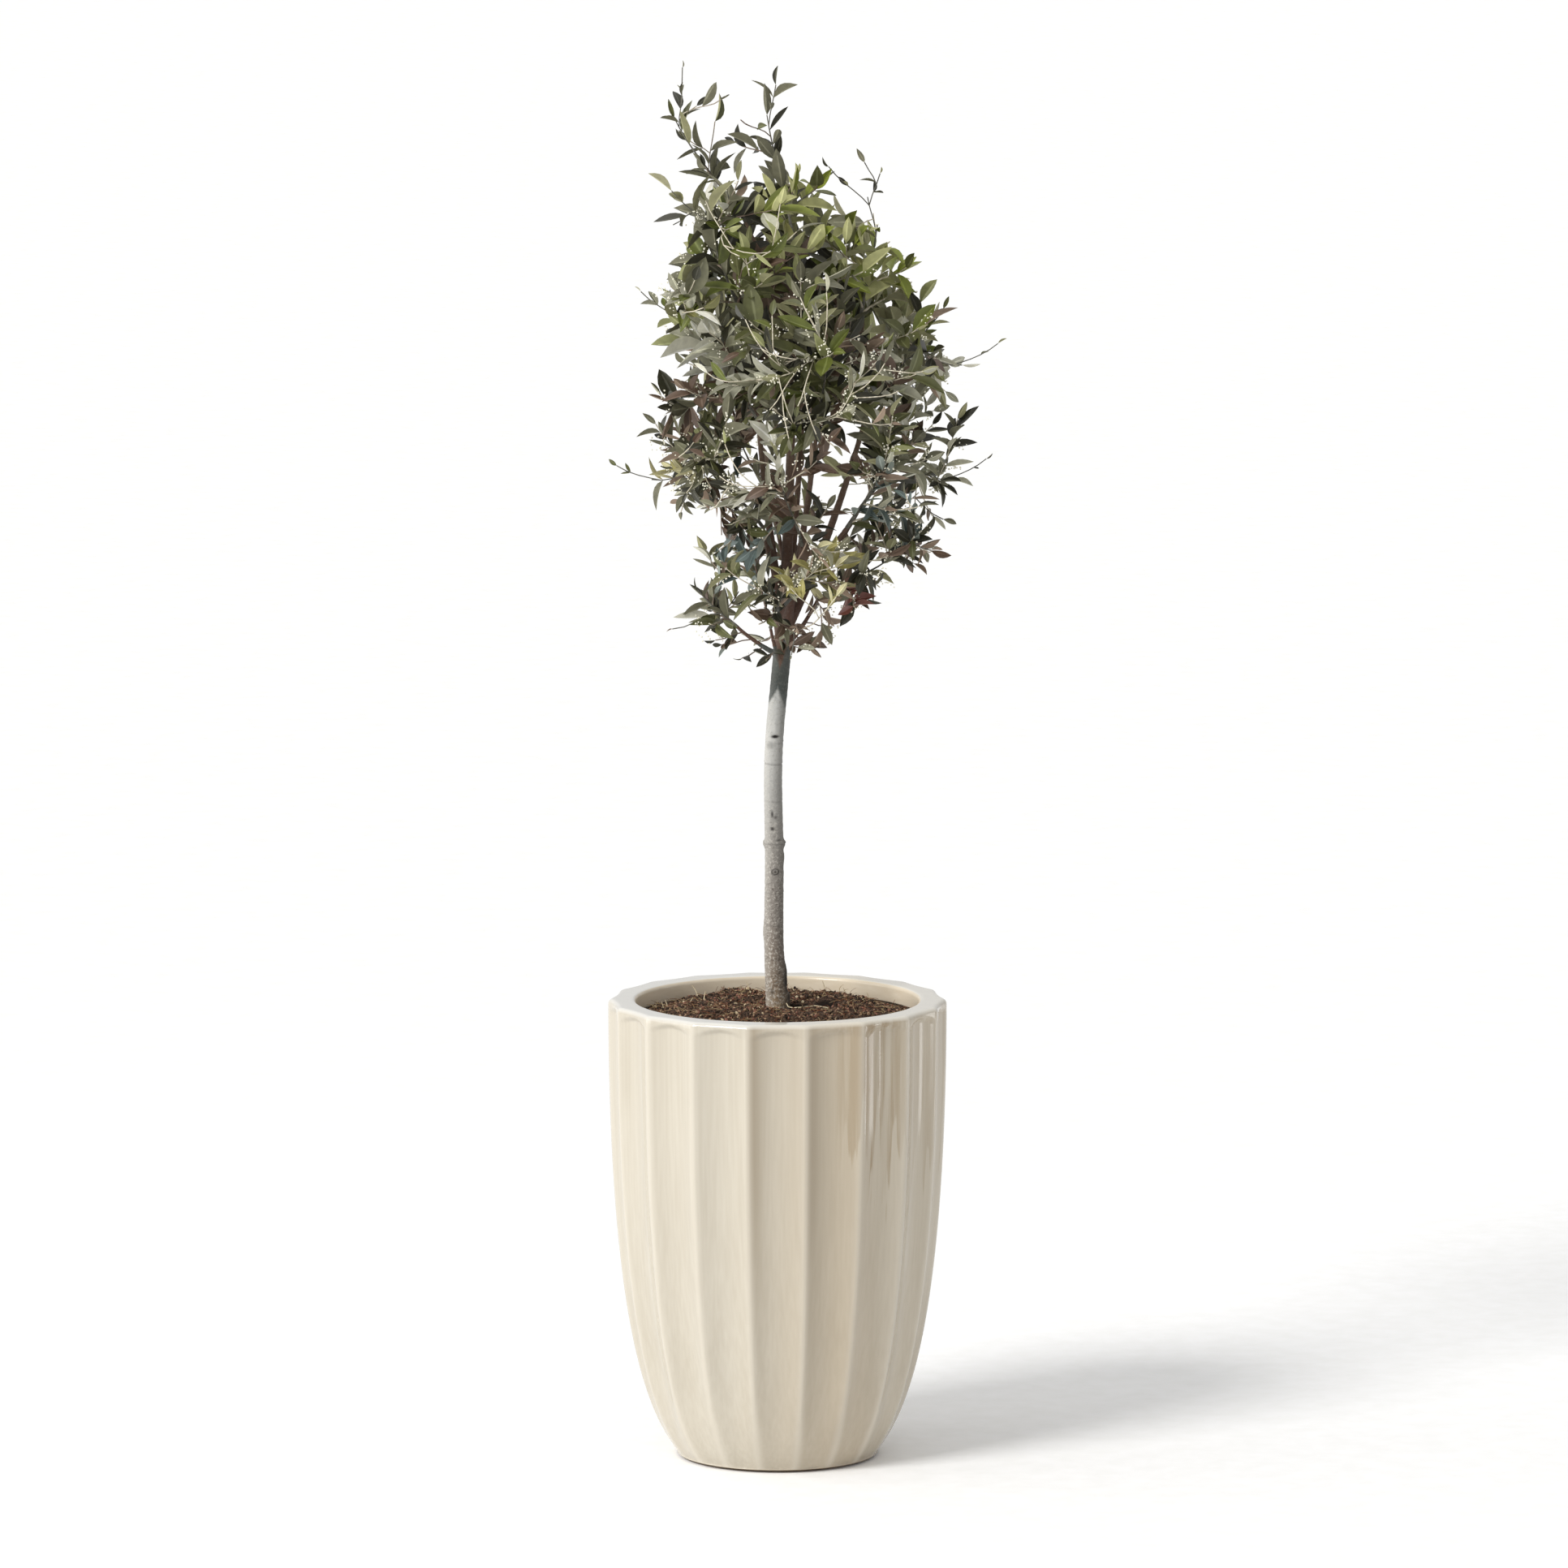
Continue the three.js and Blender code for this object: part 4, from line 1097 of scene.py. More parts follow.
def bark_tree(tree):
    """Dry bark scatters the light. The eye reads its bands of colour, its specks and its dark scars."""
    level = add(tree, "Attribute", {}, attribute_name="level")
    foot = BARK_BANDS[0][0]
    wander = stretched_noise(tree, 18 * MM, 1)
    shift = between_levels(tree, wander.outputs["Fac"], 0, 1, -0.012, 0.012)
    mixed = add(tree, "Math", {0: level.outputs["Fac"], 1: shift}, operation="ADD")
    up = between_levels(tree, mixed.outputs["Value"], foot, foot + BARK_SPAN)
    bands = add(tree, "ValToRGB", {"Fac": up})
    stops = bands.color_ramp.elements
    while len(stops) < len(BARK_BANDS):
        stops.new(1)
    for stop, (height, code) in zip(stops, BARK_BANDS):
        stop.position = (height - foot) / BARK_SPAN
        stop.color = paint(code)
    # Pale corky specks and dark pores of one to three millimetres. Both are coarser and stronger on the
    # old bark at the foot, and fade to a dusty grain on the young bark above.
    old = between_levels(tree, level.outputs["Fac"], 0.68, 0.86, 1, 0.3)
    speck = stretched_noise(tree, 3.2 * MM, 1, 3.0, 0.75)
    pale = between_levels(tree, speck.outputs["Fac"], 0.5, 0.64, 0, 0.8)
    below_collar = between_levels(tree, level.outputs["Fac"], 0.985, 1.003, 1, 0.25)
    pale_share = product(tree, product(tree, pale, below_collar), old)
    dusted = blend(tree, pale_share, bands.outputs["Color"], "#CBC6BC")
    pore = stretched_noise(tree, 3.6 * MM, 0.8, 3.0, 0.7)
    deep = between_levels(tree, pore.outputs["Fac"], 0.53, 0.68, 0, 0.85)
    pored = blend(tree, product(tree, deep, old), dusted, "#43392F")
    # Painted light and shade: the left side, towards the lamp, is painted paler, and the right side is
    # painted darker
    sunny = add(tree, "Attribute", {}, attribute_name="sunny")
    painted_highlight_share = between_levels(tree, sunny.outputs["Fac"], 0.2, 0.9, 0, 0.22)
    painted_highlight = blend(tree, product(tree, painted_highlight_share, below_collar), pored, "#E2DED5")
    dull = between_levels(tree, sunny.outputs["Fac"], 0.1, -0.7, 0, 0.45)
    painted_light_and_shade = blend(tree, product(tree, dull, below_collar), painted_highlight, "#3E3932")
    scar = add(tree, "Attribute", {}, attribute_name="scar")
    colour = blend(tree, scar.outputs["Fac"], painted_light_and_shade, "#1A1613")
    bump = add(tree, "Bump", {"Height": speck.outputs["Fac"], "Strength": 0.6, "Distance": 0.7 * MM})
    return {"Base Color": colour, "Normal": bump.outputs["Normal"]}


bark = finish_material("grey_olive_bark", bark_tree, Base_Color=paint("#8D867D"), Roughness=0.82, IOR=1.4)
limb_nodes = ["trunk"] + ["bough_" + name for name in LIMBS]
keep_piece("stem_and_boughs", make_bark(), [bark], "bark", *limb_nodes)

# %% [markdown]
# ## Twigs
# Each mass keeps its heart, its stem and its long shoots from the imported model. Many more
# targets are scattered, so that a mass which had five or six twigs has some thirty. The crown thins
# out towards its top and its foot, so targets are dealt out by height. Thin pale runs that bear leaves
# only at their tips are laid near the crown's skin, where they show against the dark leaves.

# %% Masses and their space
# Each mass: its bough, the heart of its space, its coarse twigs, and its long shoots' tips
MASSES = [
    ("leader", (10, 0.35, 1.725), 5, [(-0.002, 0.006, 1.790), (0.052, -0.004, 1.660)]),
    ("top_left", (180, 0.6, 1.722), 5, [(-0.122, 0, 1.776)]),
    ("left", (188, 0.58, 1.440), 5, [(-0.140, 0.020, 1.500)]),
    ("right", (2, 0.6, 1.450), 6, [(0.238, -0.010, 1.430)]),
    ("front", (278, 0.6, 1.435), 6, []),
    ("back", (95, 0.6, 1.445), 5, []),
    ("mid_left", (202, 0.62, 1.294), 5, [(-0.162, -0.030, 1.284)]),
    ("mid_right", (24, 0.62, 1.300), 5, [(0.226, 0.036, 1.276)]),
    ("mid_front_left", (256, 0.62, 1.270), 6, []),
    ("mid_front_right", (314, 0.62, 1.288), 6, []),
    ("mid_back", (126, 0.62, 1.300), 5, []),
    ("low_left", (184, 0.62, 1.112), 5, [(-0.100, 0, 1.100)]),
    ("low_right", (356, 0.66, 1.160), 5, [(0.116, -0.008, 1.126)]),
    ("low_front", (272, 0.62, 1.128), 5, []),
    ("low_back", (84, 0.64, 1.136), 5, []),
    ("shoulder_left", (206, 0.6, 1.585), 6, []),
    ("shoulder_right", (24, 0.6, 1.580), 6, [(0.116, 0, 1.646)]),
]
SPACE_GAP = 1 * MM
hearts = [crown_place(*mass[1]) for mass in MASSES]
heart_rows = np.array(hearts)


def in_space(place, own):
    """Nearer to the mass's own heart than to any other, with a gap between spaces."""
    apart = heart_rows - heart_rows[own]
    widths = np.linalg.norm(apart, axis=1)
    widths[own] = 1
    middle = (heart_rows + heart_rows[own]) / 2
    beyond = ((np.array(place) - middle) * apart).sum(axis=1) / widths
    beyond[own] = -1
    return bool((beyond < -SPACE_GAP).all())


# %% Scattered targets
SCATTER = 1.2207440846057596
MASS_REACH = 190 * MM
MOST_TRIES = 9000
INNER_COARSE = 0.4
# The crown is hollow about the boughs between these heights
INNER_FINE = (0.38, 0.2)
HOLLOW_HEIGHTS = (1.15, 1.36)
TIP_MARGIN = 34 * MM
FINE_MARGIN = 14 * MM
FOOT_MARGIN = 4 * MM
CROWN_FOOT = 1.25
RUN_MARGIN = 1 * MM
# The runs keep off the crown's left and right edges, beyond this share of its width
RUN_SIDE = 0.72
# How many places are tried in a mass's reach, for leafy twigs and for thin bare runs near its outside
FINE_TRIES = 800
RUN_TRIES = 860
# The tip of a run is at least this far out in the crown and this far below its top, and each is kept
# by at least this chance
RUN_INNER = 0.9
RUN_TOP = 120 * MM
RUN_LEAST = 0.3
# How leafy the crown is at its left, in its middle and at its right, at heights from its foot up
LEAFINESS = [
    (1.03, 0.7, 0.8, 0.6), (1.09, 0.28, 0.8, 0.45), (1.15, 0.14, 0.6, 0.8), (1.20, 0.8, 0.42, 1.0),
    (1.25, 0.75, 0.34, 0.7), (1.30, 0.55, 0.28, 0.24), (1.34, 0.46, 0.35, 0.18), (1.38, 0.42, 0.62, 0.16),
    (1.45, 0.38, 0.78, 0.07), (1.54, 0.1, 0.78, 0.2), (1.60, 0.36, 0.62, 0.08), (1.64, 0.46, 0.35, 0.02),
    (1.67, 0.46, 0.16, 0.02), (1.70, 0.2, 0.1, 0.04), (1.76, 0.05, 0.05, 0.05), (1.83, 0.05, 0.05, 0.05),
]
# Openings where the sky shows through, seen from the front: centre across and up in metres, and
# reach in millimetres
OPENINGS = [
    (-0.087, 1.208, 16), (-0.037, 1.276, 14), (0.104, 1.262, 14), (0.030, 1.218, 9), (0.179, 1.263, 9),
    (-0.038, 1.306, 9), (0.010, 1.306, 9), (0.123, 1.167, 9), (-0.043, 1.144, 8), (0.237, 1.407, 12),
    (-0.033, 1.082, 9), (0.048, 1.095, 9), (-0.112, 1.221, 8), (-0.035, 1.748, 14), (-0.089, 1.726, 12),
    (0.066, 1.716, 34), (0.105, 1.690, 30), (0.160, 1.658, 40), (-0.190, 1.560, 38), (0.140, 1.630, 20),
    (0.090, 1.658, 12), (0.100, 1.642, 14), (0.127, 1.628, 13), (0.152, 1.606, 11),
]
# The line of sight from the front falls by this much for each metre of depth
SIGHT_SLOPE = 0.144
# Under this leafiness a mass's coarse twigs are left out as well
THINNEST = 0.04
leafy_z = [row[0] for row in LEAFINESS]


def leafiness(place):
    across = across_crown(place)
    shares = [float(np.interp(place.z, leafy_z, [row[k] for row in LEAFINESS])) for k in (1, 2, 3)]
    return float(np.interp(across, (-0.8, -0.2, 0.2, 0.8), (shares[0], shares[1], shares[1], shares[2])))


def in_opening(place):
    seen = place.z + SIGHT_SLOPE * place.y
    return any(hypot(place.x - x, seen - z) < reach * MM for x, z, reach in OPENINGS)


def tried_places(own, tries):
    """Even, never repeating places in the box round a mass's heart."""
    for i in range(1, tries):
        steps = [MASS_REACH * (2 * ((0.5 + i / SCATTER ** power) % 1) - 1) for power in (1, 2, 3)]
        yield hearts[own] + Vector(steps)


def fits(place, own, inner, margin):
    return inside_crown(place, margin) and outness(place) >= inner and in_space(place, own)


def coarse_targets(own, count):
    found = []
    for place in tried_places(own, MOST_TRIES):
        if len(found) < count and fits(place, own, INNER_COARSE, TIP_MARGIN):
            found.append(place)
    return [place for place in found if leafiness(place) > THINNEST]


def fine_targets(own):
    """Targets for the leafy twigs, thinned where the crown is thin."""
    spread = Chance(900 + own)
    found = []
    for place in tried_places(own, FINE_TRIES):
        inner = INNER_FINE[not HOLLOW_HEIGHTS[0] < place.z < HOLLOW_HEIGHTS[1]]
        margin = FOOT_MARGIN if place.z < CROWN_FOOT else FINE_MARGIN
        if fits(place, own, inner, margin) and spread.next() < leafiness(place):
            found.append(place)
    return found


def run_targets(own):
    """Targets near the crown's skin for thin runs that are bare but for their tips."""
    spread = Chance(950 + own)
    found = []
    for place in tried_places(own, RUN_TRIES):
        near_skin = fits(place, own, RUN_INNER, RUN_MARGIN) and place.z < CROWN_TOP - RUN_TOP
        if near_skin and abs(across_crown(place)) < RUN_SIDE:
            if spread.next() < RUN_LEAST + 0.5 * leafiness(place):
                found.append(place)
    return found


# %% Shoots
FINE_STEP = 14 * MM
STEM_FOOT = 2.6 * MM
TWIG_TIP = 0.75 * MM
FORK_SHARE = 0.72
SHORTEST_SHOOT = 24 * MM
WIDEST_TURN = cos(radians(72))
# A fork costs its distance, and this share more if the shoot has to leave it at a right angle
TURN_COST = 0.6
# A shoot keeps this share of its parent's heading as it leaves, and its tip turns up by this share
KEPT_HEADING = 0.5
TIP_UP = 0.35
# A run is lifted to this far outside the crown's outline, from its fork to this share of its length,
# and less and less between these places across the crown
RUN_LIFT = 3 * MM
RUN_RISE = 0.4
RUN_SIDES = (0.6, 0.9)
# How far a mass's stem reaches beyond its heart, outwards and up
STEM_OUT = 30 * MM
STEM_UP = 26 * MM
# The radius of thin shoots and of spurs at their foot, and how clear leafy twigs stay of the limbs
THIN_FOOT = 0.9 * MM
SPUR_FOOT = 1 * MM
TWIG_CLEAR = 2 * MM
# A run's least length, and how far out its fork is
RUN_FORK = (60 * MM, 0.72)
UP = Vector((0, 0, 1))


def laid_on_skin(points):
    """A run bent outwards, so that it lies over the crown's leaves."""
    laid = []
    for k, point in enumerate(points):
        middle, half = crown_at(point.z)
        axis = Vector((middle, 0, point.z))
        out = (point - axis).length
        sideways = 1 - smoothstep(abs(across_crown(point)), *RUN_SIDES)
        lift = max(half + RUN_LIFT - out, 0) * smoothstep(k / (len(points) - 1), 0, RUN_RISE)
        lifted = out + lift * sideways
        laid.append(axis + (point - axis).normalized() * lifted)
    return laid


def shoot_points(start, heading, end):
    """A shoot leaves forwards and its tip turns up."""
    reach = (end - start).length
    straight = (end - start).normalized()
    leave = (heading * KEPT_HEADING + straight).normalized() * reach
    arrive = (straight + UP * TIP_UP).normalized() * reach
    steps = max(3, round(reach / FINE_STEP))
    points = []
    for k in range(steps + 1):
        t = k / steps
        whole = start * (2 * t ** 3 - 3 * t * t + 1) + end * (3 * t * t - 2 * t ** 3)
        points.append(whole + leave * (t ** 3 - 2 * t * t + t) + arrive * (t ** 3 - t * t))
    return points


class Skeleton:
    """The places where a new shoot may fork off, with the heading and radius there."""

    def __init__(self):
        self.rows = []

    def add(self, place, heading, radius):
        self.rows.append((*place, *heading, radius, outness(place)))

    def add_shoot(self, points, foot):
        last = len(points) - 1
        for k in range(1, last):
            heading = (points[k + 1] - points[k - 1]).normalized()
            self.add(points[k], heading, foot + (TWIG_TIP - foot) * k / last)

    def best_fork(self, target, shortest=SHORTEST_SHOOT, inner=0):
        """The fork that a shoot to the target reaches with least length and turn."""
        rows = np.array(self.rows)
        apart = np.array(target) - rows[:, :3]
        distance = np.linalg.norm(apart, axis=1)
        along = (apart * rows[:, 3:6]).sum(axis=1) / np.maximum(distance, 1e-9)
        cost = distance * (1 + TURN_COST - TURN_COST * along)
        cost[(distance < shortest) | (along < WIDEST_TURN) | (rows[:, 7] < inner)] = np.inf
        best = int(cost.argmin())
        return None if np.isinf(cost[best]) else rows[best]


limb_rows = np.array(
    [(*limb.at(k / 80), limb.radius_at(k / 80)) for limb in limbs.values() for k in range(81)]
)


def clear_of_limbs(place, gap):
    distance = np.linalg.norm(limb_rows[:, :3] - np.array(place), axis=1)
    return bool((distance > limb_rows[:, 3] + gap).all())


# Thin, almost bare shoots that stand out of the crown: the mass each belongs to, and its tip
WISPS = [
    ("shoulder_right", (0.066, -0.01, 1.686)), ("shoulder_right", (0.132, 0.004, 1.676)),
    ("shoulder_right", (0.112, 0.01, 1.690)), ("right", (0.284, -0.01, 1.458)),
    ("left", (-0.176, 0.02, 1.522)), ("mid_left", (-0.207, -0.03, 1.302)),
    ("mid_right", (0.270, 0.03, 1.304)), ("low_left", (-0.136, 0, 1.086)),
    ("top_left", (-0.122, 0.01, 1.812)), ("low_front", (0.018, -0.09, 1.064)),
    ("right", (0.214, 0.02, 1.500)), ("mid_back", (-0.03, 0.21, 1.39)),
    ("back", (0.06, 0.23, 1.47)), ("front", (0.03, -0.23, 1.46)),
]
# Leafy shoots that fill out the crown's edge: the mass each belongs to, and its tip
EDGE_SHOOTS = [
    ("low_right", (0.198, -0.030, 1.192)), ("low_right", (0.176, 0.030, 1.168)),
    ("mid_right", (0.214, -0.010, 1.230)), ("shoulder_left", (-0.136, -0.010, 1.655)),
    ("shoulder_left", (-0.134, -0.020, 1.612)),
]
# Spurs on the low boughs themselves: the bough, the share along it, and the spur's tip
SPURS = [
    ("low_left", 0.35, (-0.046, -0.016, 1.050)), ("low_left", 0.6, (-0.072, 0.012, 1.064)),
    ("low_left", 0.8, (-0.080, -0.020, 1.074)), ("low_right", 0.3, (0.040, -0.012, 1.066)),
    ("low_right", 0.55, (0.062, 0.016, 1.088)), ("low_front", 0.4, (-0.014, -0.050, 1.054)),
    ("low_front", 0.7, (0.026, -0.060, 1.070)), ("low_back", 0.5, (-0.020, 0.060, 1.062)),
]


def grow_twigs(own):
    """The twigs of one mass: its stem, its long shoots, then shoots to its scattered targets."""
    name, heart, coarse, shoots = MASSES[own]
    limb = limbs[name]
    heading = limb.heading(1)
    start = limb.at(1)
    middle, half = crown_at(heart[2])
    outward = (hearts[own] - Vector((middle, 0, heart[2]))) / half
    stem_tip = hearts[own] + outward * STEM_OUT + UP * STEM_UP
    stem = shoot_points(start - heading * 4 * MM, heading, stem_tip)
    twigs = [(stem, STEM_FOOT, "stem")]
    skeleton = Skeleton()
    skeleton.add(start + heading * 4 * MM, heading, STEM_FOOT)
    skeleton.add_shoot(stem, STEM_FOOT)
    first = sorted(coarse_targets(own, coarse), key=lambda p: (p - start).length)
    more = sorted(fine_targets(own), key=lambda p: (p - start).length)
    targets = [(Vector(tip), "long") for tip in shoots]
    targets += [(tip, "leafy") for tip in first + more]
    targets += [(tip, "run") for tip in run_targets(own)]
    targets += [(Vector(tip), "long") for mass, tip in EDGE_SHOOTS if mass == name]
    targets += [(Vector(tip), "wisp") for mass, tip in WISPS if mass == name]
    for target, kind in targets:
        fork = skeleton.best_fork(target, *RUN_FORK) if kind == "run" else skeleton.best_fork(target)
        if fork is None:
            continue
        points = shoot_points(Vector(fork[:3]), Vector(fork[3:6]), target)
        if kind == "run":
            points = laid_on_skin(points)
        if kind == "leafy" and not all(clear_of_limbs(point, TWIG_CLEAR) for point in points[2:]):
            continue
        foot = max(TWIG_TIP, fork[6] * FORK_SHARE)
        if kind in ("wisp", "run"):
            foot = min(foot, THIN_FOOT)
        twigs.append((points, foot, kind))
        skeleton.add_shoot(points, foot)
    for mass, share, tip in SPURS:
        if mass == name:
            points = shoot_points(limb.at(share), limb.heading(share), Vector(tip))
            twigs.append((points, SPUR_FOOT, "spur"))
    return twigs


crown_twigs = [grow_twigs(own) for own in range(len(MASSES))]
print("twigs:", sum(len(twigs) for twigs in crown_twigs))

# %% Twig meshes
# The crown's pieces: the masses of its top, its middle and its foot
TIERS = {
    "top": ["leader", "top_left", "shoulder_left", "shoulder_right"],
    "middle": ["left", "right", "front", "back"],
    "waist": ["mid_left", "mid_right", "mid_front_left", "mid_front_right", "mid_back"],
    "foot": ["low_left", "low_right", "low_front", "low_back"],
}
tier_nodes = {tier: ["foliage_" + name for name in names] for tier, names in TIERS.items()}
mass_number = {mass[0]: own for own, mass in enumerate(MASSES)}
RUN_TIP = 0.7 * MM
# Twigs are brown out to the first of these distances from the crown's middle, and pale from the second.
# The brown is partly older wood and partly painted shade.
TWIG_BROWN = (70 * MM, 130 * MM)


def twig_line(points, foot, kind):
    last = len(points) - 1
    tip = min(foot, RUN_TIP) if kind == "run" else TWIG_TIP
    return [(point, foot + (tip - foot) * (k / last) ** 0.8) for k, point in enumerate(points)]


def twig_tree(tree):
    """Twigs are pale and dusty out in the light, and brown in the crown's middle: partly older wood, partly
    painted shade.
    """
    grit = stretched_noise(tree, 5 * MM, 1, 4.0, 0.6)
    dusty = blend(tree, between_levels(tree, grit.outputs["Fac"], 0.35, 0.65), "#AEA58E", "#E2DAC6")
    place = add(tree, "TexCoord", {})
    level = add(tree, "Mapping", {"Vector": place.outputs["Object"], "Scale": (1, 1, 0)})
    out = add(tree, "VectorMath", {0: level.outputs["Vector"]}, operation="LENGTH").outputs["Value"]
    return {"Base Color": blend(tree, between_levels(tree, out, *TWIG_BROWN, 0.85, 0), dusty, "#6A5147")}


# Leafy twigs and runs have a pale, dusty skin, and the strong shoots are darker
pale_skin = finish_material(
    "pale_olive_twig", twig_tree, Base_Color=paint("#CBC2AD"), Roughness=0.7, IOR=1.4,
)
dark_skin = finish_material(
    "dark_olive_shoot", grainy("#4C4B43", "#77746A", 5 * MM, 0.3 * MM), Base_Color=paint("#605E55"),
    Roughness=0.7, IOR=1.4,
)
SKINS = [("twigs", ("leafy", "run", "spur"), pale_skin), ("shoots", ("stem", "long", "wisp"), dark_skin)]
for tier, names in TIERS.items():
    grown = [twig for name in names for twig in crown_twigs[mass_number[name]]]
    for title, kinds, skin in SKINS:
        lines = [twig_line(*twig) for twig in grown if twig[2] in kinds]
        twig_mesh = tube_mesh(f"{title}_{tier}", lines, 1)
        twig_mesh.shade_smooth()
        keep_piece(f"{title}_{tier}", twig_mesh, [skin], "bark", *tier_nodes[tier])

# %% [markdown]
# ## Leaves
# Olive leaves are narrow, leathery ellipses in opposite pairs, dull grey-green above and silvery
# below, where a felt of tiny scales covers them. Each is modelled as a thin lens of some forty
# triangles: a grid is drawn in to the leaf's outline, folded a little along its rib, and closed by a
# copy of itself that faces down. A handful of such shapes, bent in different ways, is placed some
# 2,600 times, turned and scaled by the seeded rule.

# %% Leaf shapes
LEAF_CELLS = 6
# For a leaf one unit long
LEAF_THICKNESS = 0.012
MERGE_REACH = 0.0005


def leaf_shape(bend, sweep, fold, blunt):
    """A leaf one unit long and wide: bend curls it down, sweep curls it sideways."""
    bm = bmesh.new()
    bmesh.ops.create_grid(bm, x_segments=LEAF_CELLS, y_segments=2, size=0.5)
    rib = bm.verts.layers.float.new("rib")
    for vert in bm.verts:
        vert[rib] = 1 - 2 * abs(vert.co.y)
        along = vert.co.x + 0.5
        half = 0.5 * max(sin(pi * along ** blunt), 0) ** 0.85
        side = vert.co.y * 2 * half
        lift = fold * abs(side) - bend * along * along
        vert.co = (along * (1 - 0.25 * abs(bend)), side + sweep * along * along, lift)
    upper = list(bm.faces)
    copy = bmesh.ops.duplicate(bm, geom=upper)
    under = [item for item in copy["geom"] if isinstance(item, bmesh.types.BMFace)]
    bmesh.ops.reverse_faces(bm, faces=under)
    for face in under:
        face.material_index = 1
        for vert in face.verts:
            if all(near in under for near in vert.link_faces) and len(vert.link_faces) == 4:
                vert.tag = True
    for vert in bm.verts:
        if vert.tag:
            vert.co.z -= LEAF_THICKNESS
    bmesh.ops.remove_doubles(bm, verts=bm.verts, dist=MERGE_REACH)
    bmesh.ops.dissolve_degenerate(bm, edges=bm.edges, dist=MERGE_REACH)
    return shape_arrays(bm)


leaf_shapes = [
    leaf_shape(0.06, 0.00, 0.22, 0.92),
    leaf_shape(0.22, 0.05, 0.30, 0.85),
    leaf_shape(-0.10, -0.06, 0.20, 1.0),
    leaf_shape(0.34, -0.12, 0.12, 0.9),
    leaf_shape(0.12, 0.16, 0.34, 1.08),
    leaf_shape(-0.2, 0.08, 0.26, 0.88),
]
print("leaf triangles:", [len(shape[1]) for shape in leaf_shapes])

# %% Leaf finishes
# Upper and under side of each shade of leaf. Old leaves are dark, young ones olive or yellow-green,
# and a few turn red-brown before they fall. The dark shade is also used as painted shade, and the pale
# one is partly a painted highlight.
LEAF_SHADES = {
    "dark": ("#313022", "#6C6A55"),
    "green": ("#555733", "#8E8C68"),
    "moss": ("#5E652B", "#8E9062"),
    "grey": ("#77765F", "#A9A792"),
    "silver": ("#A09F8B", "#C6C4B3"),
    "pale": ("#BCBBA8", "#D0CEC0"),
    "blue": ("#55615E", "#8C948C"),
    "olive": ("#716F40", "#9C997A"),
    "young": ("#7E8636", "#A7A774"),
    "straw": ("#968F58", "#B4AE86"),
    "brown": ("#5C4A3C", "#857362"),
    "red": ("#6E4238", "#88685A"),
}
# Painted shade: inside this share of the crown's width most sprays are dark, or brown
SHADED_INSIDE = 0.55
SHADED_INSIDE_SHARE = 0.5
DARK_SHARE = 0.65
# What an ordinary spray is dealt, from these heights up
ORDINARY = [
    (0, {
        "dark": 0.42, "brown": 0.19, "green": 0.18, "grey": 0.12,
        "silver": 0.04, "blue": 0.03, "pale": 0.02,
    }),
    (1.22, {
        "dark": 0.34, "brown": 0.15, "green": 0.22, "grey": 0.15,
        "silver": 0.07, "blue": 0.03, "pale": 0.04,
    }),
    (1.33, {
        "dark": 0.42, "green": 0.25, "moss": 0.12, "brown": 0.11,
        "grey": 0.05, "silver": 0.03, "pale": 0.02,
    }),
    (1.50, {
        "moss": 0.32, "green": 0.22, "dark": 0.2, "grey": 0.1,
        "olive": 0.08, "silver": 0.04, "pale": 0.04,
    }),
    (1.55, {
        "moss": 0.34, "green": 0.22, "dark": 0.08, "grey": 0.12,
        "olive": 0.14, "silver": 0.05, "pale": 0.05,
    }),
    # Painted shade: from here up, half the sprays are dark, for the crown's darker top
    (1.66, {"dark": 0.5, "green": 0.32, "grey": 0.12, "pale": 0.06}),
]
# Sprays of another tint: centre across and up, reach, shade, and how many of the sprays there have it
TINTS = [
    (0.055, 1.172, 0.045, "straw", 0.75), (0.03, 1.63, 0.055, "young", 0.9),
    (0.129, 1.575, 0.055, "young", 0.9), (-0.155, 1.31, 0.03, "straw", 0.4),
    (-0.104, 1.379, 0.05, "brown", 0.6), (0.076, 1.294, 0.06, "brown", 0.6),
    (0.029, 1.103, 0.06, "brown", 0.6), (0.134, 1.273, 0.045, "blue", 0.6),
    (-0.072, 1.177, 0.045, "blue", 0.5), (0.097, 1.119, 0.022, "red", 0.8),
    (-0.17, 1.46, 0.1, "silver", 0.5), (0.2, 1.46, 0.09, "silver", 0.4),
    (0.0, 1.30, 0.07, "silver", 0.3), (-0.15, 1.29, 0.05, "dark", 0.6),
    (0.2, 1.21, 0.06, "dark", 0.5), (0.11, 1.13, 0.05, "brown", 0.4),
    (-0.08, 1.77, 0.09, "dark", 0.7), (-0.13, 1.66, 0.06, "dark", 0.6),
    (-0.07, 1.12, 0.05, "dark", 0.5), (-0.05, 1.06, 0.05, "dark", 0.6),
    (0.04, 1.08, 0.05, "brown", 0.5), (-0.13, 1.63, 0.05, "dark", 0.7),
    (-0.07, 1.69, 0.05, "green", 0.7), (-0.07, 1.58, 0.05, "moss", 0.6),
]
# Only sprays nearer than this to the front have a tint
TINT_DEPTH = 60 * MM
# How long and how wide the leaves are, at heights up the crown
LEAF_SIZES = [
    (1.05, 0.74, 0.72), (1.33, 0.78, 0.8), (1.43, 1.0, 1.05), (1.58, 1.15, 1.35),
    (1.65, 1.1, 1.2), (1.70, 0.9, 0.75), (1.8, 0.85, 0.7),
]


def tinted(colour, factor, more=0):
    """A colour made darker or lighter."""
    return tuple(min(channel * factor + more, 1) for channel in colour[:3]) + (1.0,)


